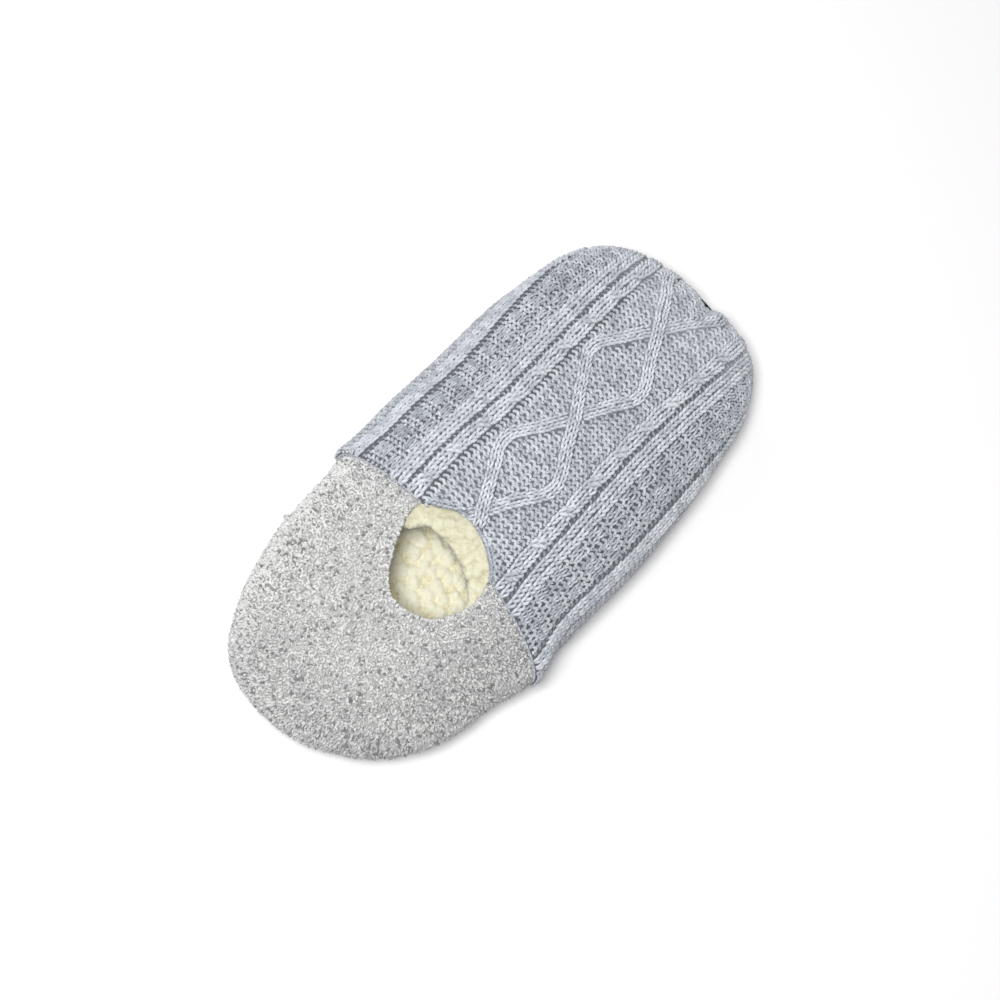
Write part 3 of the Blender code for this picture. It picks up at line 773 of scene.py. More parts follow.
# knit pattern: widths round the foot from the middle and lengths from the seam
knit = {
    "rowPitch": 54.7 / 22 * mm,
    "groundPitch": 2.66 * mm,
    "groundWales": 7,
    "diamondHalf": 13.4 * mm,
    "diamondShift": -2.2 * mm,
    "crossFirst": 14.1 * mm,
    "crossPitch": 55.6 * mm,
    "crossReach": 6.5 * mm,
    "strandHalf": 2.7 * mm,
    "strandRise": 1.9 * mm,
    "strandRoom": 2.3 * mm,
    "strandOffset": 1.35 * mm,
    "strandStitch": 2.55 * mm,
    "strandWide": 1.02,
    "ropeMiddle": 22.1 * mm,
    "ropeHalf": 2.6 * mm,
    "ropeSwing": 1.65 * mm,
    "ropeFirst": 7.4 * mm,
    "ropePitch": 16.55 * mm,
    "ropeReach": 2.3 * mm,
    "ropeRise": 1.5 * mm,
    "ropeStitch": 2.5 * mm,
    "ropeWide": 1.22,
    "ropeSwell": 0.35,
    "ropeSwellReach": 2.0 * mm,
    "ribs": (30.2 * mm, 56.0 * mm),
    "ribHalf": 3.0 * mm,
    "ribRise": 1.3 * mm,
    "ribPitch": 3.6 * mm,
    "ribWide": 1.33,
    "ribSunk": 0.45 * mm,
    "grooves": (25.9 * mm, 51.5 * mm),
    "grooveLift": 0.10 * mm,
    "grooveWide": 0.80,
    "mossStart": 34.0 * mm,
    "mossWide": 16.6 * mm,
    "mossWales": 6,
    "mossGutter": 2,
    "mossUp": 0.25 * mm,
    "mossDown": 0.10 * mm,
    "sideStart": 60.6 * mm,
    "sideEnd": 97 * mm,
    "hemRise": 2.2 * mm,
    "hemFade": 9 * mm,
    "underlay": 1.3 * mm,
    "edge": 3 * mm,
    "sunk": 0.5 * mm,
    "uneven": 0.34,
    "margin": 1.5 * mm,
    "jitter": 0.13 * mm,
    "jitterSeed": 8,
    "middlePiece": 27.5 * mm,
}
# tints of the stitch groups; the groove's low value is painted shade for the thread sunk in the groove
shades = {
    "ground": 0.50, "groove": 0.24, "rib": 0.55, "moss": 0.47, "side": 0.46, "strand": 0.58, "rope": 0.56,
}
blueGreyYarn = {
    "colours": [
        (0.0, (0.19, 0.204, 0.238)),
        (0.35, (0.42, 0.445, 0.495)),
        (0.65, (0.62, 0.641, 0.688)),
        (1.0, (0.80, 0.823, 0.866)),
    ],
    "twist": 9.0,
    "plies": 2.0,
    "sheen": 0.25,
    "fleck": 0.45,
    "paintedRootShade": 0.0,
}
# dark colours of the ground under the stitches: painted shade for the gaps between stitches; the paler values
# lighten this painted shade at the toe and in the middle
knitGapShade = {
    "colours": [(0.3, (0.09, 0.096, 0.11)), (0.7, (0.17, 0.18, 0.20)), (1.0, (0.34, 0.355, 0.39))],
    "lumps": 700.0,
    "grain": 1800.0,
    "bump": 0.4 * mm,
    "sheen": 0.2,
    "paintedShadeByTint": 1.0,
    "palerToe": 0.5,
    "palerToeRange": (85 * mm, 115 * mm),
    "palerMiddle": 0.25,
    "palerHalf": 19 * mm,
}


def swing(v):
    phase = np.pi * (v - knit["crossFirst"]) / knit["crossPitch"]
    return knit["diamondHalf"] * (np.sin(phase) - 0.11 * np.sin(3 * phase) + 0.03 * np.sin(5 * phase)) / 1.14


def strandRoom(a, v):
    s = swing(v)
    slope = (swing(v + mm) - swing(v - mm)) / (2 * mm)
    across = a - knit["diamondShift"]
    return np.minimum(np.abs(across - s), np.abs(across + s)) / np.sqrt(1 + slope ** 2)


def ropeSwing(v):
    phase = np.pi * (v - knit["ropeFirst"]) / knit["ropePitch"]
    return knit["ropeSwing"] * np.tanh(3.0 * np.sin(phase)) / math.tanh(3.0)


def hemRise(v):
    return knit["hemRise"] * np.exp(-(v / knit["hemFade"]) ** 2)


def reliefFade(a, v):
    fade = np.clip((halfAt(toeSkin, v) - np.abs(a) - 3 * mm) / (11 * mm), 0, 1)
    toe = np.clip((toeSkin["end"] - v) / (0.45 * (toeSkin["end"] - toeSkin["body"])), 0, 1)
    return fade * (0.2 + 0.8 * toe)


def ridge(off, half, edge=1.5 * mm):
    return softStep(half + edge - off, 0.0, edge)


def relief(a, v):
    height = knit["strandRise"] * ridge(strandRoom(a, v), knit["strandHalf"] - 0.5 * mm)
    side = np.abs(drifted(a, v, True))
    height = np.maximum(height, knit["ropeRise"] * ridge(np.abs(side - knit["ropeMiddle"]), knit["ropeHalf"]))
    for middle in knit["ribs"]:
        height = np.maximum(height, knit["ribRise"] * ridge(np.abs(side - middle), knit["ribHalf"]))
    return height * reliefFade(a, v)


def vampHeight(a, v):
    return hemRise(v) + relief(a, v) + creased(toeSkin, a, v) - knit["underlay"]


# stitches: a knit stitch is a V of two legs, a purl stitch one wave of yarn, a bar the thread in a groove
knitLeg = [(0.28, -1.75, -0.35), (0.50, -0.90, 0.28), (0.76, 0.10, 0.48), (0.84, 1.00, 0.24)]
knitLeg += [(0.56, 1.75, -0.40)]
legRadius = [0.46, 0.57, 0.60, 0.56, 0.44]
mirrorLeg = [(-x, y, z) for x, y, z in knitLeg]
waveX = (-1.38, -0.90, -0.45, 0.0, 0.45, 0.90, 1.38)
waves = [math.cos(math.pi * x / 1.38) for x in waveX]
headWave = [(x, 0.40 + 0.31 * w, 0.20 + 0.20 * w) for x, w in zip(waveX, waves)]
headRadius = [0.68 + 0.04 * w for w in waves]
sinkerArc = [(0.80, -0.60, -0.10), (1.08, -0.92, 0.16), (1.38, -1.04, 0.26), (1.68, -0.92, 0.16)]
sinkerArc += [(1.96, -0.60, -0.10)]
sinkerRadius = [0.40, 0.54, 0.60, 0.54, 0.40]
grooveBar = [(-1.3, -0.2, -0.3), (-0.5, 0.1, 0.1), (0.5, 0.1, 0.1), (1.3, -0.2, -0.3)]
knitShape = yarnShape("knitShape", (knitLeg, legRadius, 5), (mirrorLeg, legRadius, 5))
purlShape = yarnShape("purlShape", (headWave, headRadius, 5), (sinkerArc, sinkerRadius, 4))
barShape = yarnShape("barShape", (grooveBar, [0.46, 0.52, 0.52, 0.46], 5))
knitKind, purlKind, barKind = range(3)
jitter = np.random.default_rng(knit["jitterSeed"])
knitRows = np.arange(int((toeSkin["end"] + last["tuckLength"]) / knit["rowPitch"]))


def stitchSpots(a, v, kind, width, length, lift, lean, shade):
    a = a + knit["jitter"] * jitter.normal(size=len(a))
    v = v + knit["jitter"] * jitter.normal(size=len(v))
    at = skinFrame(toeSkin, a, v)
    lean = lean + 0.07 * jitter.normal(size=len(a))
    y = at["along"] * np.cos(lean)[:, None] + at["across"] * np.sin(lean)[:, None]
    height = lift + hemRise(v) + creased(toeSkin, a, v) - knit["sunk"]
    sizes = (np.broadcast_to(width, a.shape), length, 0.9 + 0.2 * jitter.random(len(a)))
    return {
        "points": at["here"] + at["normal"] * height[:, None],
        "turns": turnsOf(np.cross(y, at["normal"]), y, at["normal"]),
        "sizes": np.column_stack(sizes),
        "kinds": np.broadcast_to(kind, a.shape).astype(np.int32),
        "shades": np.full(len(a), shade),
        "a": a,
        "v": v,
    }


# one wale: where the form narrows and rows run together, every second or fourth stitch is kept
def columnSpots(wale, kinds, width, lift, shade):
    v = (knitRows + 0.5) * knit["rowPitch"]
    a = drifted(wale, v)
    stretch = skinFrame(toeSkin, a, v)["stretch"]
    every = np.where(stretch > 0.62, 1, np.where(stretch > 0.31, 2, 4))
    keep = onSkin(toeSkin, a, v, knit["margin"]) & (knitRows % every == 0) & (stretch > 0.15)
    kind = np.broadcast_to(kinds, v.shape)[keep]
    a, v, length = a[keep], v[keep], (stretch * every)[keep]
    fade = np.clip(reliefFade(a, v) * 1.2, 0, 1)
    spread = np.abs(drifted(wale + 0.5 * mm, v) - drifted(wale - 0.5 * mm, v)) / mm
    lean = np.arctan((drifted(wale, v + mm) - drifted(wale, v - mm)) / (2 * mm))
    return stitchSpots(a, v, kind, width * spread, length, lift * fade, lean, shade)


# one line of knit stitches along a cable's path
def pathSpots(path, offset, width, spacing, lift, shade, swell=0.0):
    v = np.linspace(0, toeSkin["end"] + last["tuckLength"], 3000)
    a = path(v)
    length = np.cumsum(np.hypot(np.gradient(a), np.gradient(v)))
    vAt = np.interp(np.arange(0.5 * spacing, length[-1], spacing), length, v)
    slope = np.interp(vAt, v, np.gradient(a, v))
    lean = np.arctan(slope)
    aAt = path(vAt) + offset * np.cos(lean)
    vAt = vAt - offset * np.sin(lean)
    keep = (vAt > 0.2 * mm) & onSkin(toeSkin, aAt, vAt, knit["margin"])
    aAt, vAt, slope, lean = aAt[keep], vAt[keep], slope[keep], lean[keep]
    stretch = skinFrame(toeSkin, aAt, vAt)["stretch"]
    rise = lift(vAt, slope) * np.clip(reliefFade(aAt, vAt) * 1.2, 0, 1)
    width = width * (1 + swell * crossing(vAt, "rope", knit["ropeSwellReach"]))
    return stitchSpots(aAt, vAt, knitKind, width, np.maximum(stretch, 0.5), rise, lean, shade)


def crossing(v, cable, reach):
    first, pitch = knit[cable + "First"], knit[cable + "Pitch"]
    away = np.abs((v - first + 0.5 * pitch) % pitch - 0.5 * pitch)
    return np.exp(-(away / reach) ** 2)


def strandLift(v, slope):
    near = crossing(v, "cross", knit["crossReach"])
    return knit["strandRise"] - 0.5 * mm + near * np.where(slope < 0, 1.0, -1.1) * mm


def ropeLift(v, slope):
    near = crossing(v, "rope", knit["ropeReach"])
    return knit["ropeRise"] - 0.5 * mm + near * np.where(slope > 0, 0.55, -0.9) * mm


def strandPath(v, sign):
    return knit["diamondShift"] + sign * swing(v)


def ropePath(v, sign, side):
    return drifted(side * knit["ropeMiddle"], v) + sign * ropeSwing(v)


# moss: blocks of two rows, a row apart on the two sides of a purl gutter
def mossSpots(side, wale):
    at = side * (knit["mossStart"] + (wale + 0.5) * knit["mossWide"] / knit["mossWales"])
    gutter = wale == knit["mossGutter"]
    first = 3 if wale < knit["mossGutter"] else 2
    kinds = purlKind if gutter else (knitRows + first) // 2 % 2
    moss = columnSpots(at, kinds, 1.0, 0.0, shades["moss"])
    raised = (moss["kinds"] == purlKind) & (not gutter)
    moss["points"][:, 2] += np.where(raised, knit["mossUp"], -knit["mossDown"])
    # painted shade: the sunk knit blocks and the gutter get a darker tint, the raised purl blocks a slightly
    # lighter one
    moss["shades"] += np.where(raised, 0.02, -0.07)
    return moss


stitches = []
ribStitches = knitKind, knit["ribWide"], knit["ribRise"] - knit["ribSunk"], shades["rib"]
for side in (-1, 1):
    grooves = [(side * groove, barKind, knit["grooveWide"], knit["grooveLift"], shades["groove"])
               for groove in knit["grooves"]]
    for wale in range(knit["groundWales"]):
        middle = side * (wale + 0.5) * knit["groundPitch"]
        stitches.append(columnSpots(middle, purlKind, 1.0, 0.0, shades["ground"]))
    stitches.append(columnSpots(*grooves[0]))
    for offset in (-0.5, 0.5):
        for rib in knit["ribs"]:
            stitches.append(columnSpots(side * rib + offset * knit["ribPitch"], *ribStitches))
    stitches += [mossSpots(side, wale) for wale in range(knit["mossWales"])]
    stitches.append(columnSpots(*grooves[1]))
    for wale in np.arange(knit["sideStart"], knit["sideEnd"], knit["groundPitch"]):
        stitches.append(columnSpots(side * wale, purlKind, 1.0, 0.0, shades["side"]))
ground = joinSpots(stitches)
ground = keepSpots(ground, strandRoom(ground["a"], ground["v"]) > knit["strandRoom"])
cables = []
for sign in (-1, 1):
    path = partial(strandPath, sign=sign)
    strand = knit["strandWide"], knit["strandStitch"], strandLift, shades["strand"]
    for offset in (-knit["strandOffset"], knit["strandOffset"]):
        cables.append(pathSpots(path, offset, *strand))
    rope = knit["ropeWide"], knit["ropeStitch"], ropeLift, shades["rope"], knit["ropeSwell"]
    for side in (-1, 1):
        cables.append(pathSpots(partial(ropePath, sign=sign, side=side), 0.0, *rope))
allSpots = joinSpots([ground] + cables)
inPanel = (rimRoom("panel", allSpots["points"]) > 0.3 * mm) & (allSpots["v"] > 0.9 * mm)
allSpots = keepSpots(allSpots, inPanel)

# chains that finish the throat, on top and on its wall, and the wall of the hem
chain = {
    "step": 5.2,  # degrees round the throat
    "outside": 0.8 * mm,
    "sunk": 0.6 * mm,
    "wallIn": 0.7 * mm,
    "wallDown": 1.1 * mm,
    "hemStep": 2.1 * mm,
    "hemSunk": 0.1 * mm,
    "shade": 0.44,
    "topSize": (1.0, 0.72, 1.0),
    "wallSize": (0.75, 0.70, 0.7),
    "hemSize": (0.80, 0.72, 0.6),
}


def chainSpots(points, run, out, size, a, keep):
    run = unit(run)
    out = unit(out - run * (run * out).sum(axis=1, keepdims=True))
    made = {
        "points": points,
        "turns": turnsOf(np.cross(run, out), run, out),
        "sizes": np.tile(size, (len(a), 1)),
        "kinds": np.full(len(a), knitKind, dtype=np.int32),
        "shades": np.full(len(a), chain["shade"]),
        "a": a,
        "v": 0 * a,
    }
    return keepSpots(made, keep)


throat, inward, throatY = rimSpots(np.radians(np.arange(0, 360, chain["step"])), chain["outside"], 0.0)
slopeX = (topHeight(throat[:, 0] + mm, throat[:, 1], 0.0)[0] - throat[:, 2]) / mm
slopeY = (topHeight(throat[:, 0], throat[:, 1] + mm, 0.0)[0] - throat[:, 2]) / mm
upward = np.column_stack((-slopeX, -slopeY, np.ones(len(throat))))
throat[:, 2] += hemRise(np.maximum(throatY - last["seam"], 0)) - chain["sunk"]
throatRun = np.gradient(throat, axis=0)
infront = throatY > last["seam"] + 0.6 * mm
wall = throat + inward * chain["wallIn"] - np.array([0, 0, chain["wallDown"]])
hemA = np.arange(-knit["sideEnd"], knit["sideEnd"], chain["hemStep"])
hem = skinFrame(toeSkin, hemA, 0 * hemA)
hemPoints = hem["here"] + hem["normal"] * (creased(toeSkin, hemA, 0 * hemA) - chain["hemSunk"])[:, None]
hemPoints = hemPoints - hem["along"] * chain["hemSunk"]
hemKept = onSkin(toeSkin, hemA, 0 * hemA, knit["margin"]) & (rimRoom("panel", hemPoints) > 0.4 * mm)
allSpots = joinSpots([
    allSpots,
    chainSpots(throat, throatRun, upward, chain["topSize"], throat[:, 0], infront),
    chainSpots(wall, throatRun, inward, chain["wallSize"], throat[:, 0], infront),
    chainSpots(hemPoints, hem["across"], -hem["along"], chain["hemSize"], hemA, hemKept),
])

knitYarn = yarnMaterial("blueGreyYarn", blueGreyYarn)
stitchShapes = [knitShape, purlShape, barShape]
across = allSpots["a"]
knitParts = (
    ("knitMiddle", np.abs(across) < knit["middlePiece"], 3),
    ("knitLeft", across <= -knit["middlePiece"], 4),
    ("knitRight", across >= knit["middlePiece"], 5),
)
vampPieces = []
for name, part, seed in knitParts:
    vampPieces.append(grow(name, keepSpots(allSpots, part), stitchShapes, knitYarn, seed, knit["uneven"]))

# the ground under the stitches, with the wall of the opening; its dark colour is painted shade for the gaps
# between stitches, the grooves and the seam
rimAngle = np.linspace(0, 2 * np.pi, 120, endpoint=False)
outerRim, rimY = rimSpots(rimAngle, 0.0, 0.0)[::2]
innerRim = rimSpots(rimAngle, 0.0, knit["edge"])[0]
front = rimY > last["seam"]
outerRim[:, 2] += np.where(front, hemRise(np.maximum(rimY - last["seam"], 0)), 0) - knit["underlay"]
vampSheet = skinSheet(toeSkin, vampHeight, "panel", columns=76, bodyRows=84, fanRows=44, edge=knit["edge"])
groundPoints, groundFaces = joinSheets(vampSheet, rimBand(innerRim[front], outerRim[front], -np.pi))
# painted shade made lighter towards the toe and over the middle of the vamp
paler = knitGapShade["palerToe"] * softStep(groundPoints[:, 1], *knitGapShade["palerToeRange"])
inMiddle = softStep(knitGapShade["palerHalf"] - np.abs(groundPoints[:, 0]), 0, 2 * mm)
paler += knitGapShade["palerMiddle"] * inMiddle
knitGapShadeCloth = clothMaterial("knitGapShade", knitGapShade)
vampPieces.append(meshPiece("vampGround", groundPoints, groundFaces, knitGapShadeCloth, 0.5 + np.minimum(paler, 0.5)))
for piece in vampPieces:
    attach(piece, "root")
    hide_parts("vamp")
print("vamp made")

# heel panel: short nubs of looped yarn in clumps, longer and leaning outwards towards the lower edge
nubs = {
    "spacing": 1.02 * mm,
    "seed": 11,
    "uneven": 0.34,
    "size": 1.0,
    "longer": 0.8,
    "longerBelow": 48 * mm,
    "lean": 1.3,
    "underlay": 1.7 * mm,
    "edge": 2.1 * mm,
    "sunk": 1.45 * mm,
    "clump": 2.4 * mm,
    "clumpReach": 0.80,
    "clumpSeed": 12,
    "clumpRise": 0.45 * mm,
    "bentShare": 0.4,
    "darkShare": 0.13,
    "darkShade": 0.12,
    "shade": 0.52,
    # painted shade: clump tops lighter than the hollows between them
    "paintedClumpShade": 0.12,
    # painted shade: nubs darker towards the right and towards the back of the heel
    "paintedShadeRight": 0.15,
    "paintedShadeRightRange": (12 * mm, 45 * mm),
    "paintedShadeRear": 0.13,
    "paintedShadeRearRange": (85 * mm, 115 * mm),
    "rimDepths": (1.0, 1.7, 2.4),
    "rimStep": 0.045,  # radians round the opening
    "rimOutside": 0.5 * mm,
}
greyLoopYarn = {
    "colours": [
        (0.0, (0.22, 0.222, 0.22)),
        (0.25, (0.50, 0.505, 0.50)),
        (0.55, (0.72, 0.725, 0.715)),
        (1.0, (0.90, 0.90, 0.885)),
    ],
    "twist": 5.0,
    "plies": 1.0,
    "sheen": 0.3,
    "fleck": 0.4,
    "paintedRootShade": 0.14,
}
loopUnderlay = {
    "colours": [(0.35, (0.42, 0.423, 0.42)), (0.65, (0.62, 0.622, 0.615))],
    "lumps": 600.0,
    "grain": 1800.0,
    "bump": 0.4 * mm,
    "sheen": 0.2,
    "paintedShadeByTint": 0.0,
}
random = np.random.default_rng(nubs["seed"])
nubPath = [(0.0, 0, -0.45), (0.05, 0, 0.10), (0.16, 0, 0.55), (0.34, 0, 0.85)]
bentPath = [(-0.55, 0.1, -0.4), (-0.30, 0, 0.42), (0.30, 0.05, 0.62), (0.75, -0.1, 0.05)]
nubShape = yarnShape("nubShape", (nubPath, [0.42, 0.56, 0.48, 0.04], 4))
bentShape = yarnShape("bentShape", (bentPath, [0.34, 0.44, 0.46, 0.30], 4))


def heelHeight(a, v):
    wave = np.sin(a * 900 + 3 * np.sin(v * 410)) * np.sin(v * 830 + 2 * np.sin(a * 370))
    return 0.25 * mm * wave + creased(heelSkin, a, v) - nubs["underlay"]


def scatter(skin, spacing):
    half = skin["half"].max() + last["tuckLength"]
    ways = np.arange(-half, half, spacing), np.arange(0.4 * mm, skin["end"] + last["tuckLength"], spacing)
    a, v = np.meshgrid(*ways)
    a = (a + spacing * (random.random(a.shape) - 0.5)).ravel()
    v = (v + spacing * (random.random(v.shape) - 0.5)).ravel()
    keep = onSkin(skin, a, v) & (v > 0.2 * mm)
    a, v = a[keep], v[keep]
    at = skinFrame(skin, a, v)
    keep = random.random(len(a)) < np.clip(at["stretch"], 0.05, 1)
    keep &= rimRoom("panel", at["here"]) > 0.3 * mm
    return a[keep], v[keep], at["here"][keep], at["normal"][keep]


def nubSpots(points, lean, longer, shade):
    count = len(points)
    z = unit(lean + 0.9 * (random.random((count, 3)) - 0.5))
    x = unit(np.cross(z, random.normal(size=(count, 3))))
    wide = nubs["size"] * (0.75 + 0.5 * random.random(count))
    return {
        "points": points,
        "turns": turnsOf(x, np.cross(z, x), z),
        "sizes": np.column_stack((wide, wide, wide * (0.85 + 0.5 * random.random(count) + longer))),
        "kinds": (random.random(count) < nubs["bentShare"]).astype(np.int32),
        "shades": np.where(random.random(count) < nubs["darkShare"], nubs["darkShade"], shade),
    }


nubA, nubV, nubPoints, nubUp = scatter(heelSkin, nubs["spacing"])
away = unit(nubPoints - np.array([collar["x"], collar["y"], 45 * mm]))
longer = nubs["longer"] * softStep(nubs["longerBelow"] - nubPoints[:, 2], 0.0, 30 * mm)
longer = longer * (0.6 + 0.4 * np.tanh(nubPoints[:, 0] / (20 * mm)))
clumped = clumps(nubPoints, nubs["clump"], nubs["clumpSeed"], nubs["clumpReach"])
lift = nubs["clumpRise"] * clumped - nubs["sunk"] + creased(heelSkin, nubA, nubV)
nubPoints = nubPoints + nubUp * lift[:, None]
# painted shade darkening the nubs towards the right and the back of the heel
paintedShadeRightRear = nubs["paintedShadeRight"] * softStep(nubPoints[:, 0], *nubs["paintedShadeRightRange"])
paintedShadeRightRear += nubs["paintedShadeRear"] * softStep(-nubPoints[:, 1], *nubs["paintedShadeRearRange"])
# tint of each nub: base value, painted shade lighter on clump tops, less the painted shade to the right and
# back
nubTintAndPaintedShade = nubs["shade"] + nubs["paintedClumpShade"] * clumped - paintedShadeRightRear
nubParts = [nubSpots(nubPoints, nubUp + away * (nubs["lean"] * longer)[:, None], longer, nubTintAndPaintedShade)]

# nubs over the edge of the opening
for depth in nubs["rimDepths"]:
    edgeAngle = np.arange(0, 2 * np.pi, nubs["rimStep"]) + 0.015 * depth
    edge, edgeIn, edgeY = rimSpots(edgeAngle, nubs["rimOutside"], depth * mm)
    kept = edgeY < last["seam"] - 0.6 * mm
    nubParts.append(nubSpots(edge[kept], edgeIn[kept] + (0, 0, 1.6 - 0.6 * depth), 0.0, 0.5))
heelSpots = joinSpots(nubParts)
onLeft = heelSpots["points"][:, 0] < 0
loopYarn = yarnMaterial("greyLoopYarn", greyLoopYarn)
heelPieces = []
for name, part, seed in (("loopsLeft", onLeft, 21), ("loopsRight", ~onLeft, 22)):
    heelPieces.append(
        grow(name, keepSpots(heelSpots, part), [nubShape, bentShape], loopYarn, seed, nubs["uneven"])
    )
heelSheet = skinSheet(heelSkin, heelHeight, "panel", columns=60, bodyRows=26, fanRows=60, edge=nubs["edge"])
rearRim = rimSpots(rimAngle, 0.0, nubs["underlay"])[0][~front]
underLoops = clothMaterial("loopUnderlay", loopUnderlay)
heelGround = joinSheets(heelSheet, rimBand(innerRim[~front], rearRim, 1.2))
heelPieces.append(meshPiece("heelGround", *heelGround, underLoops))
for piece in heelPieces:
    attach(piece, "root")
    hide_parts("heel_panel")
print("heel panel made")

# fleece body: lip behind the vamp's edge, rim and inside
fleece = {
    "inset": 3.4 * mm,
    "wall": 3.9 * mm,
    "drawnIn": 0.6 * mm,
    "round": 1.5 * mm,
    "under": 4 * mm,
    "lining": 12,  # millimetres of the lip along the inside
    "clump": 3.9 * mm,
    "clumpReach": 0.66,
    "tuft": 0.42,
    "tuftReach": 0.7,
    "rise": 1.5 * mm,
    "seed": 32,
}
creamFleece = {
    "colours": [(0.25, (0.57, 0.51, 0.34)), (0.5, (0.68, 0.655, 0.48)), (0.75, (0.78, 0.765, 0.595))],
    "lumps": 560.0,
    "grain": 1900.0,
    "bump": 0.6 * mm,
    "sheen": 0.4,
    "paintedShadeByTint": 0.24,
}
outerInset = fleece["inset"]
innerInset = fleece["inset"] + fleece["wall"]


# one side of the fleece wall, cut away where the lip covers it
def fleeceSheet(zone, inset, out):
    def drawnIn(a, v):
        return 0.0 * a - fleece["drawnIn"] * out

    points, faces = skinSheet(skinOf(zone, inset), drawnIn, None, columns=40, bodyRows=36, fanRows=30)
    cut = (rimRoom("body", points) < 3 * mm) & (points[:, 2] > collar["above"])
    return points, [f[::out] for f in faces if not all(cut[i] for i in f)]


fleeceSheets = [fleeceSheet(zone, inset, out)
                for inset, out in ((outerInset, 1), (innerInset, -1)) for zone in ("toe", "heel")]

# the lip runs from under the panels over the fleece's edge and back along its inside
lipAngle = np.linspace(0, 2 * np.pi, 300, endpoint=False)
bodyRim, panelRim = rimRadius("body", lipAngle), rimRadius("panel", lipAngle)
bodyRim = mix(panelRim + 0.9 * mm, bodyRim, softStep(panelRim - bodyRim, 1.2 * mm, 3.6 * mm))
lipRows = [(mix(panelRim + fleece["under"], bodyRim, share), outerInset) for share in np.linspace(0, 1, 18)]
for turn in np.linspace(0, math.pi, 9)[1:-1]:
    inset = mix(outerInset, innerInset, 0.5 - 0.5 * math.cos(turn))
    lipRows.append((bodyRim - fleece["round"] * math.sin(turn), inset))
lipRows += [(bodyRim + step * mm, innerInset) for step in np.linspace(0, fleece["lining"], 9)]
lipGrid = []
for radius, inset in lipRows:
    x, y = roundCollar(lipAngle, radius)
    lipGrid.append(np.column_stack((x, y, topHeight(x, y, inset)[0])))
lipGrid = np.array(lipGrid)
roundStep = np.roll(lipGrid, -1, axis=1) - np.roll(lipGrid, 1, axis=1)
lipNormal = unit(np.cross(np.gradient(lipGrid, axis=0), roundStep))
lipNormal *= np.sign(lipNormal[2, :, 2].mean())
lipHeight = woolClumps(lipGrid.reshape(-1, 3), fleece, False).reshape(lipGrid.shape[:2])
lipPoints = lipGrid + lipNormal * (fleece["rise"] * (lipHeight - 0.5))[..., None]
# painted shade: the lip darker between its clumps and lighter on their tops; the fleece sheets take the
# middle value
fleecePaintedShade = np.concatenate([np.full(len(sheet[0]), 0.5) for sheet in fleeceSheets] + [lipHeight.ravel()])
fleeceWool = clothMaterial("creamFleece", creamFleece)
fleecePoints, fleeceFaces = joinSheets(*fleeceSheets, bandFaces(list(lipPoints)))
fleeceBody = meshPiece("fleeceBody", fleecePoints, fleeceFaces, fleeceWool, fleecePaintedShade)
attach(fleeceBody, "root")
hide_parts("upper")
print("fleece made")


# plates: outline of the last drawn in, with a rounded edge
def plateInset(plate, y):
    return tuckDepth(y) + plate["inset"]


def outlineHalf(plate, y):
    inset = plateInset(plate, y)
    heelReach = last["heelReach"] - inset
    toeReach = last["toeReach"] - inset + plate["toeExtra"]
    pivot = np.clip(y, last["heelPivot"], last["toePivot"])
    square = np.where(y > last["toePivot"], plate["toeSquare"], formAt("squareness", pivot))
    share = np.clip(np.maximum((last["heelPivot"] - y) / heelReach, (y - last["toePivot"]) / toeReach), 0, 1)
    return (formAt("halfWidth", y) - inset) * (1 - share ** square) ** (1 / square)


def plateMesh(plate, rows, columns, under=10):
    heelEnd, toeEnd = last["heelPivot"] - last["heelReach"], last["toePivot"] + last["toeReach"]
    rear = heelEnd + plateInset(plate, heelEnd)
    tip = toeEnd + plate["toeExtra"] - plateInset(plate, toeEnd)
    y = 0.5 * (rear + tip) - 0.5 * (tip - rear) * np.cos(np.linspace(0.004, math.pi - 0.004, rows))
    half = outlineHalf(plate, y)
    low, high = plate["low"], plate["low"] + plate["thick"]
    corner = np.minimum(plate["rounding"], 0.6 * half)[:, None]
    flat = half[:, None] - corner
    turn = np.linspace(0, 0.5 * math.pi, 5)[None, 1:]
    roundUp = plate["rounding"] * (1 - np.cos(turn))
    bottom = flat * np.linspace(-1, 1, under)[None, :]
    top = flat * np.linspace(1, -1, columns)[None, :]
    edgeX = flat + corner * np.sin(turn)
    lowZ = np.repeat(low + roundUp, rows, axis=0)
    highZ = np.repeat(high - roundUp[:, ::-1], rows, axis=0)
    x = np.hstack((bottom, edgeX, edgeX[:, ::-1], top, -edgeX, -edgeX[:, ::-1]))
    flatLow, flatHigh = np.full(bottom.shape, low), np.full(top.shape, high)
    z = np.hstack((flatLow, lowZ, highZ, flatHigh, highZ[:, ::-1], lowZ[:, ::-1]))
    count = x.shape[1]
    points = np.stack((x, np.repeat(y[:, None], count, axis=1), z), axis=-1)
    ends = [tuple(range(count))[::-1], tuple(range((rows - 1) * count, rows * count))]
    return points.reshape(-1, 3), gridFaces(rows, count, closed=True) + ends


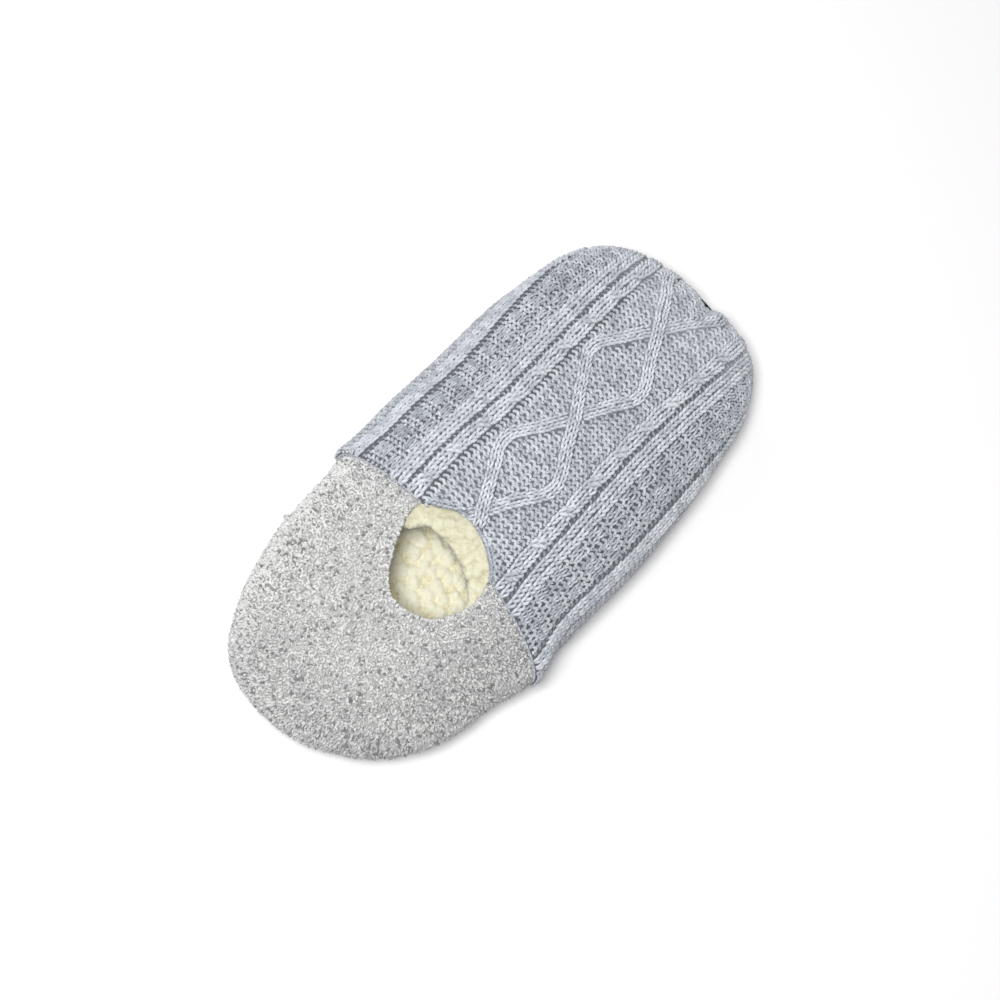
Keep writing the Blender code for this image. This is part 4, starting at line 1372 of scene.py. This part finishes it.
# insole: deep pile in soft clumps
pile = {
    "inset": 7.9 * mm,
    "toeExtra": 0.0,
    "toeSquare": 2.75,
    "low": 5.3 * mm,
    "thick": 8 * mm,
    "rounding": 1.6 * mm,
    "clump": 4.2 * mm,
    "clumpReach": 0.62,
    "tuft": 0.45,
    "tuftReach": 0.66,
    "rise": 2.8 * mm,
    "seed": 42,
    "fill": 0.5,
}
creamPile = {
    "colours": [(0.2, (0.62, 0.55, 0.35)), (0.42, (0.945, 0.90, 0.66)), (0.65, (0.99, 0.965, 0.775))],
    "lumps": 620.0,
    "grain": 1900.0,
    "bump": 1.3 * mm,
    "sheen": 0.4,
    "paintedShadeByTint": 0.5,
}
insolePoints, insoleFaces = plateMesh(pile, rows=380, columns=120)
onTop = insolePoints[:, 2] > pile["low"] + 0.6 * pile["thick"]
pileHeight = woolClumps(insolePoints[onTop], pile, True)
insolePoints[onTop, 2] += pile["rise"] * (pileHeight - 0.65)
# painted shade: the pile darker in the veins between clumps and lighter on their tops; sides and underside
# take a fixed darker value
pilePaintedShade = np.full(len(insolePoints), 0.3)
pilePaintedShade[onTop] = pileHeight
pileCloth = clothMaterial("creamPile", creamPile)
pileBase = meshPiece("pileBase", settle(insolePoints, False), insoleFaces, pileCloth, pilePaintedShade)
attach(pileBase, "root")
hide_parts("insole")
print("insole made")

# sole: soft charcoal plate with a turned-up toe lip
sole = {
    "inset": -0.8 * mm,
    "toeExtra": 9 * mm,
    "toeSquare": 2.1,
    "low": 0.0,
    "thick": 5 * mm,
    "rounding": 1.4 * mm,
    "lipStart": 117 * mm,
    "lipLength": 9 * mm,
    "lipLift": 4.5 * mm,
}
charcoalSole = {
    "colours": [(0.3, (0.016, 0.016, 0.018)), (0.7, (0.045, 0.045, 0.05))],
    "lumps": 900.0,
    "grain": 2600.0,
    "bump": 0.4 * mm,
    "sheen": 0.1,
    "paintedShadeByTint": 0.0,
}
solePoints, soleFaces = plateMesh(sole, rows=160, columns=24)
lipShare = np.clip((solePoints[:, 1] - sole["lipStart"]) / sole["lipLength"], 0, None)
solePoints[:, 2] += sole["lipLift"] * lipShare ** 2
soleCloth = clothMaterial("charcoalSole", charcoalSole)
solePiece = meshPiece("soleSkin", settle(solePoints, False), soleFaces, soleCloth)
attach(solePiece, "root")
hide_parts("sole")
print("sole made")

for shape in stitchShapes + [nubShape, bentShape]:
    bpy.data.objects.remove(shape, do_unlink=True)
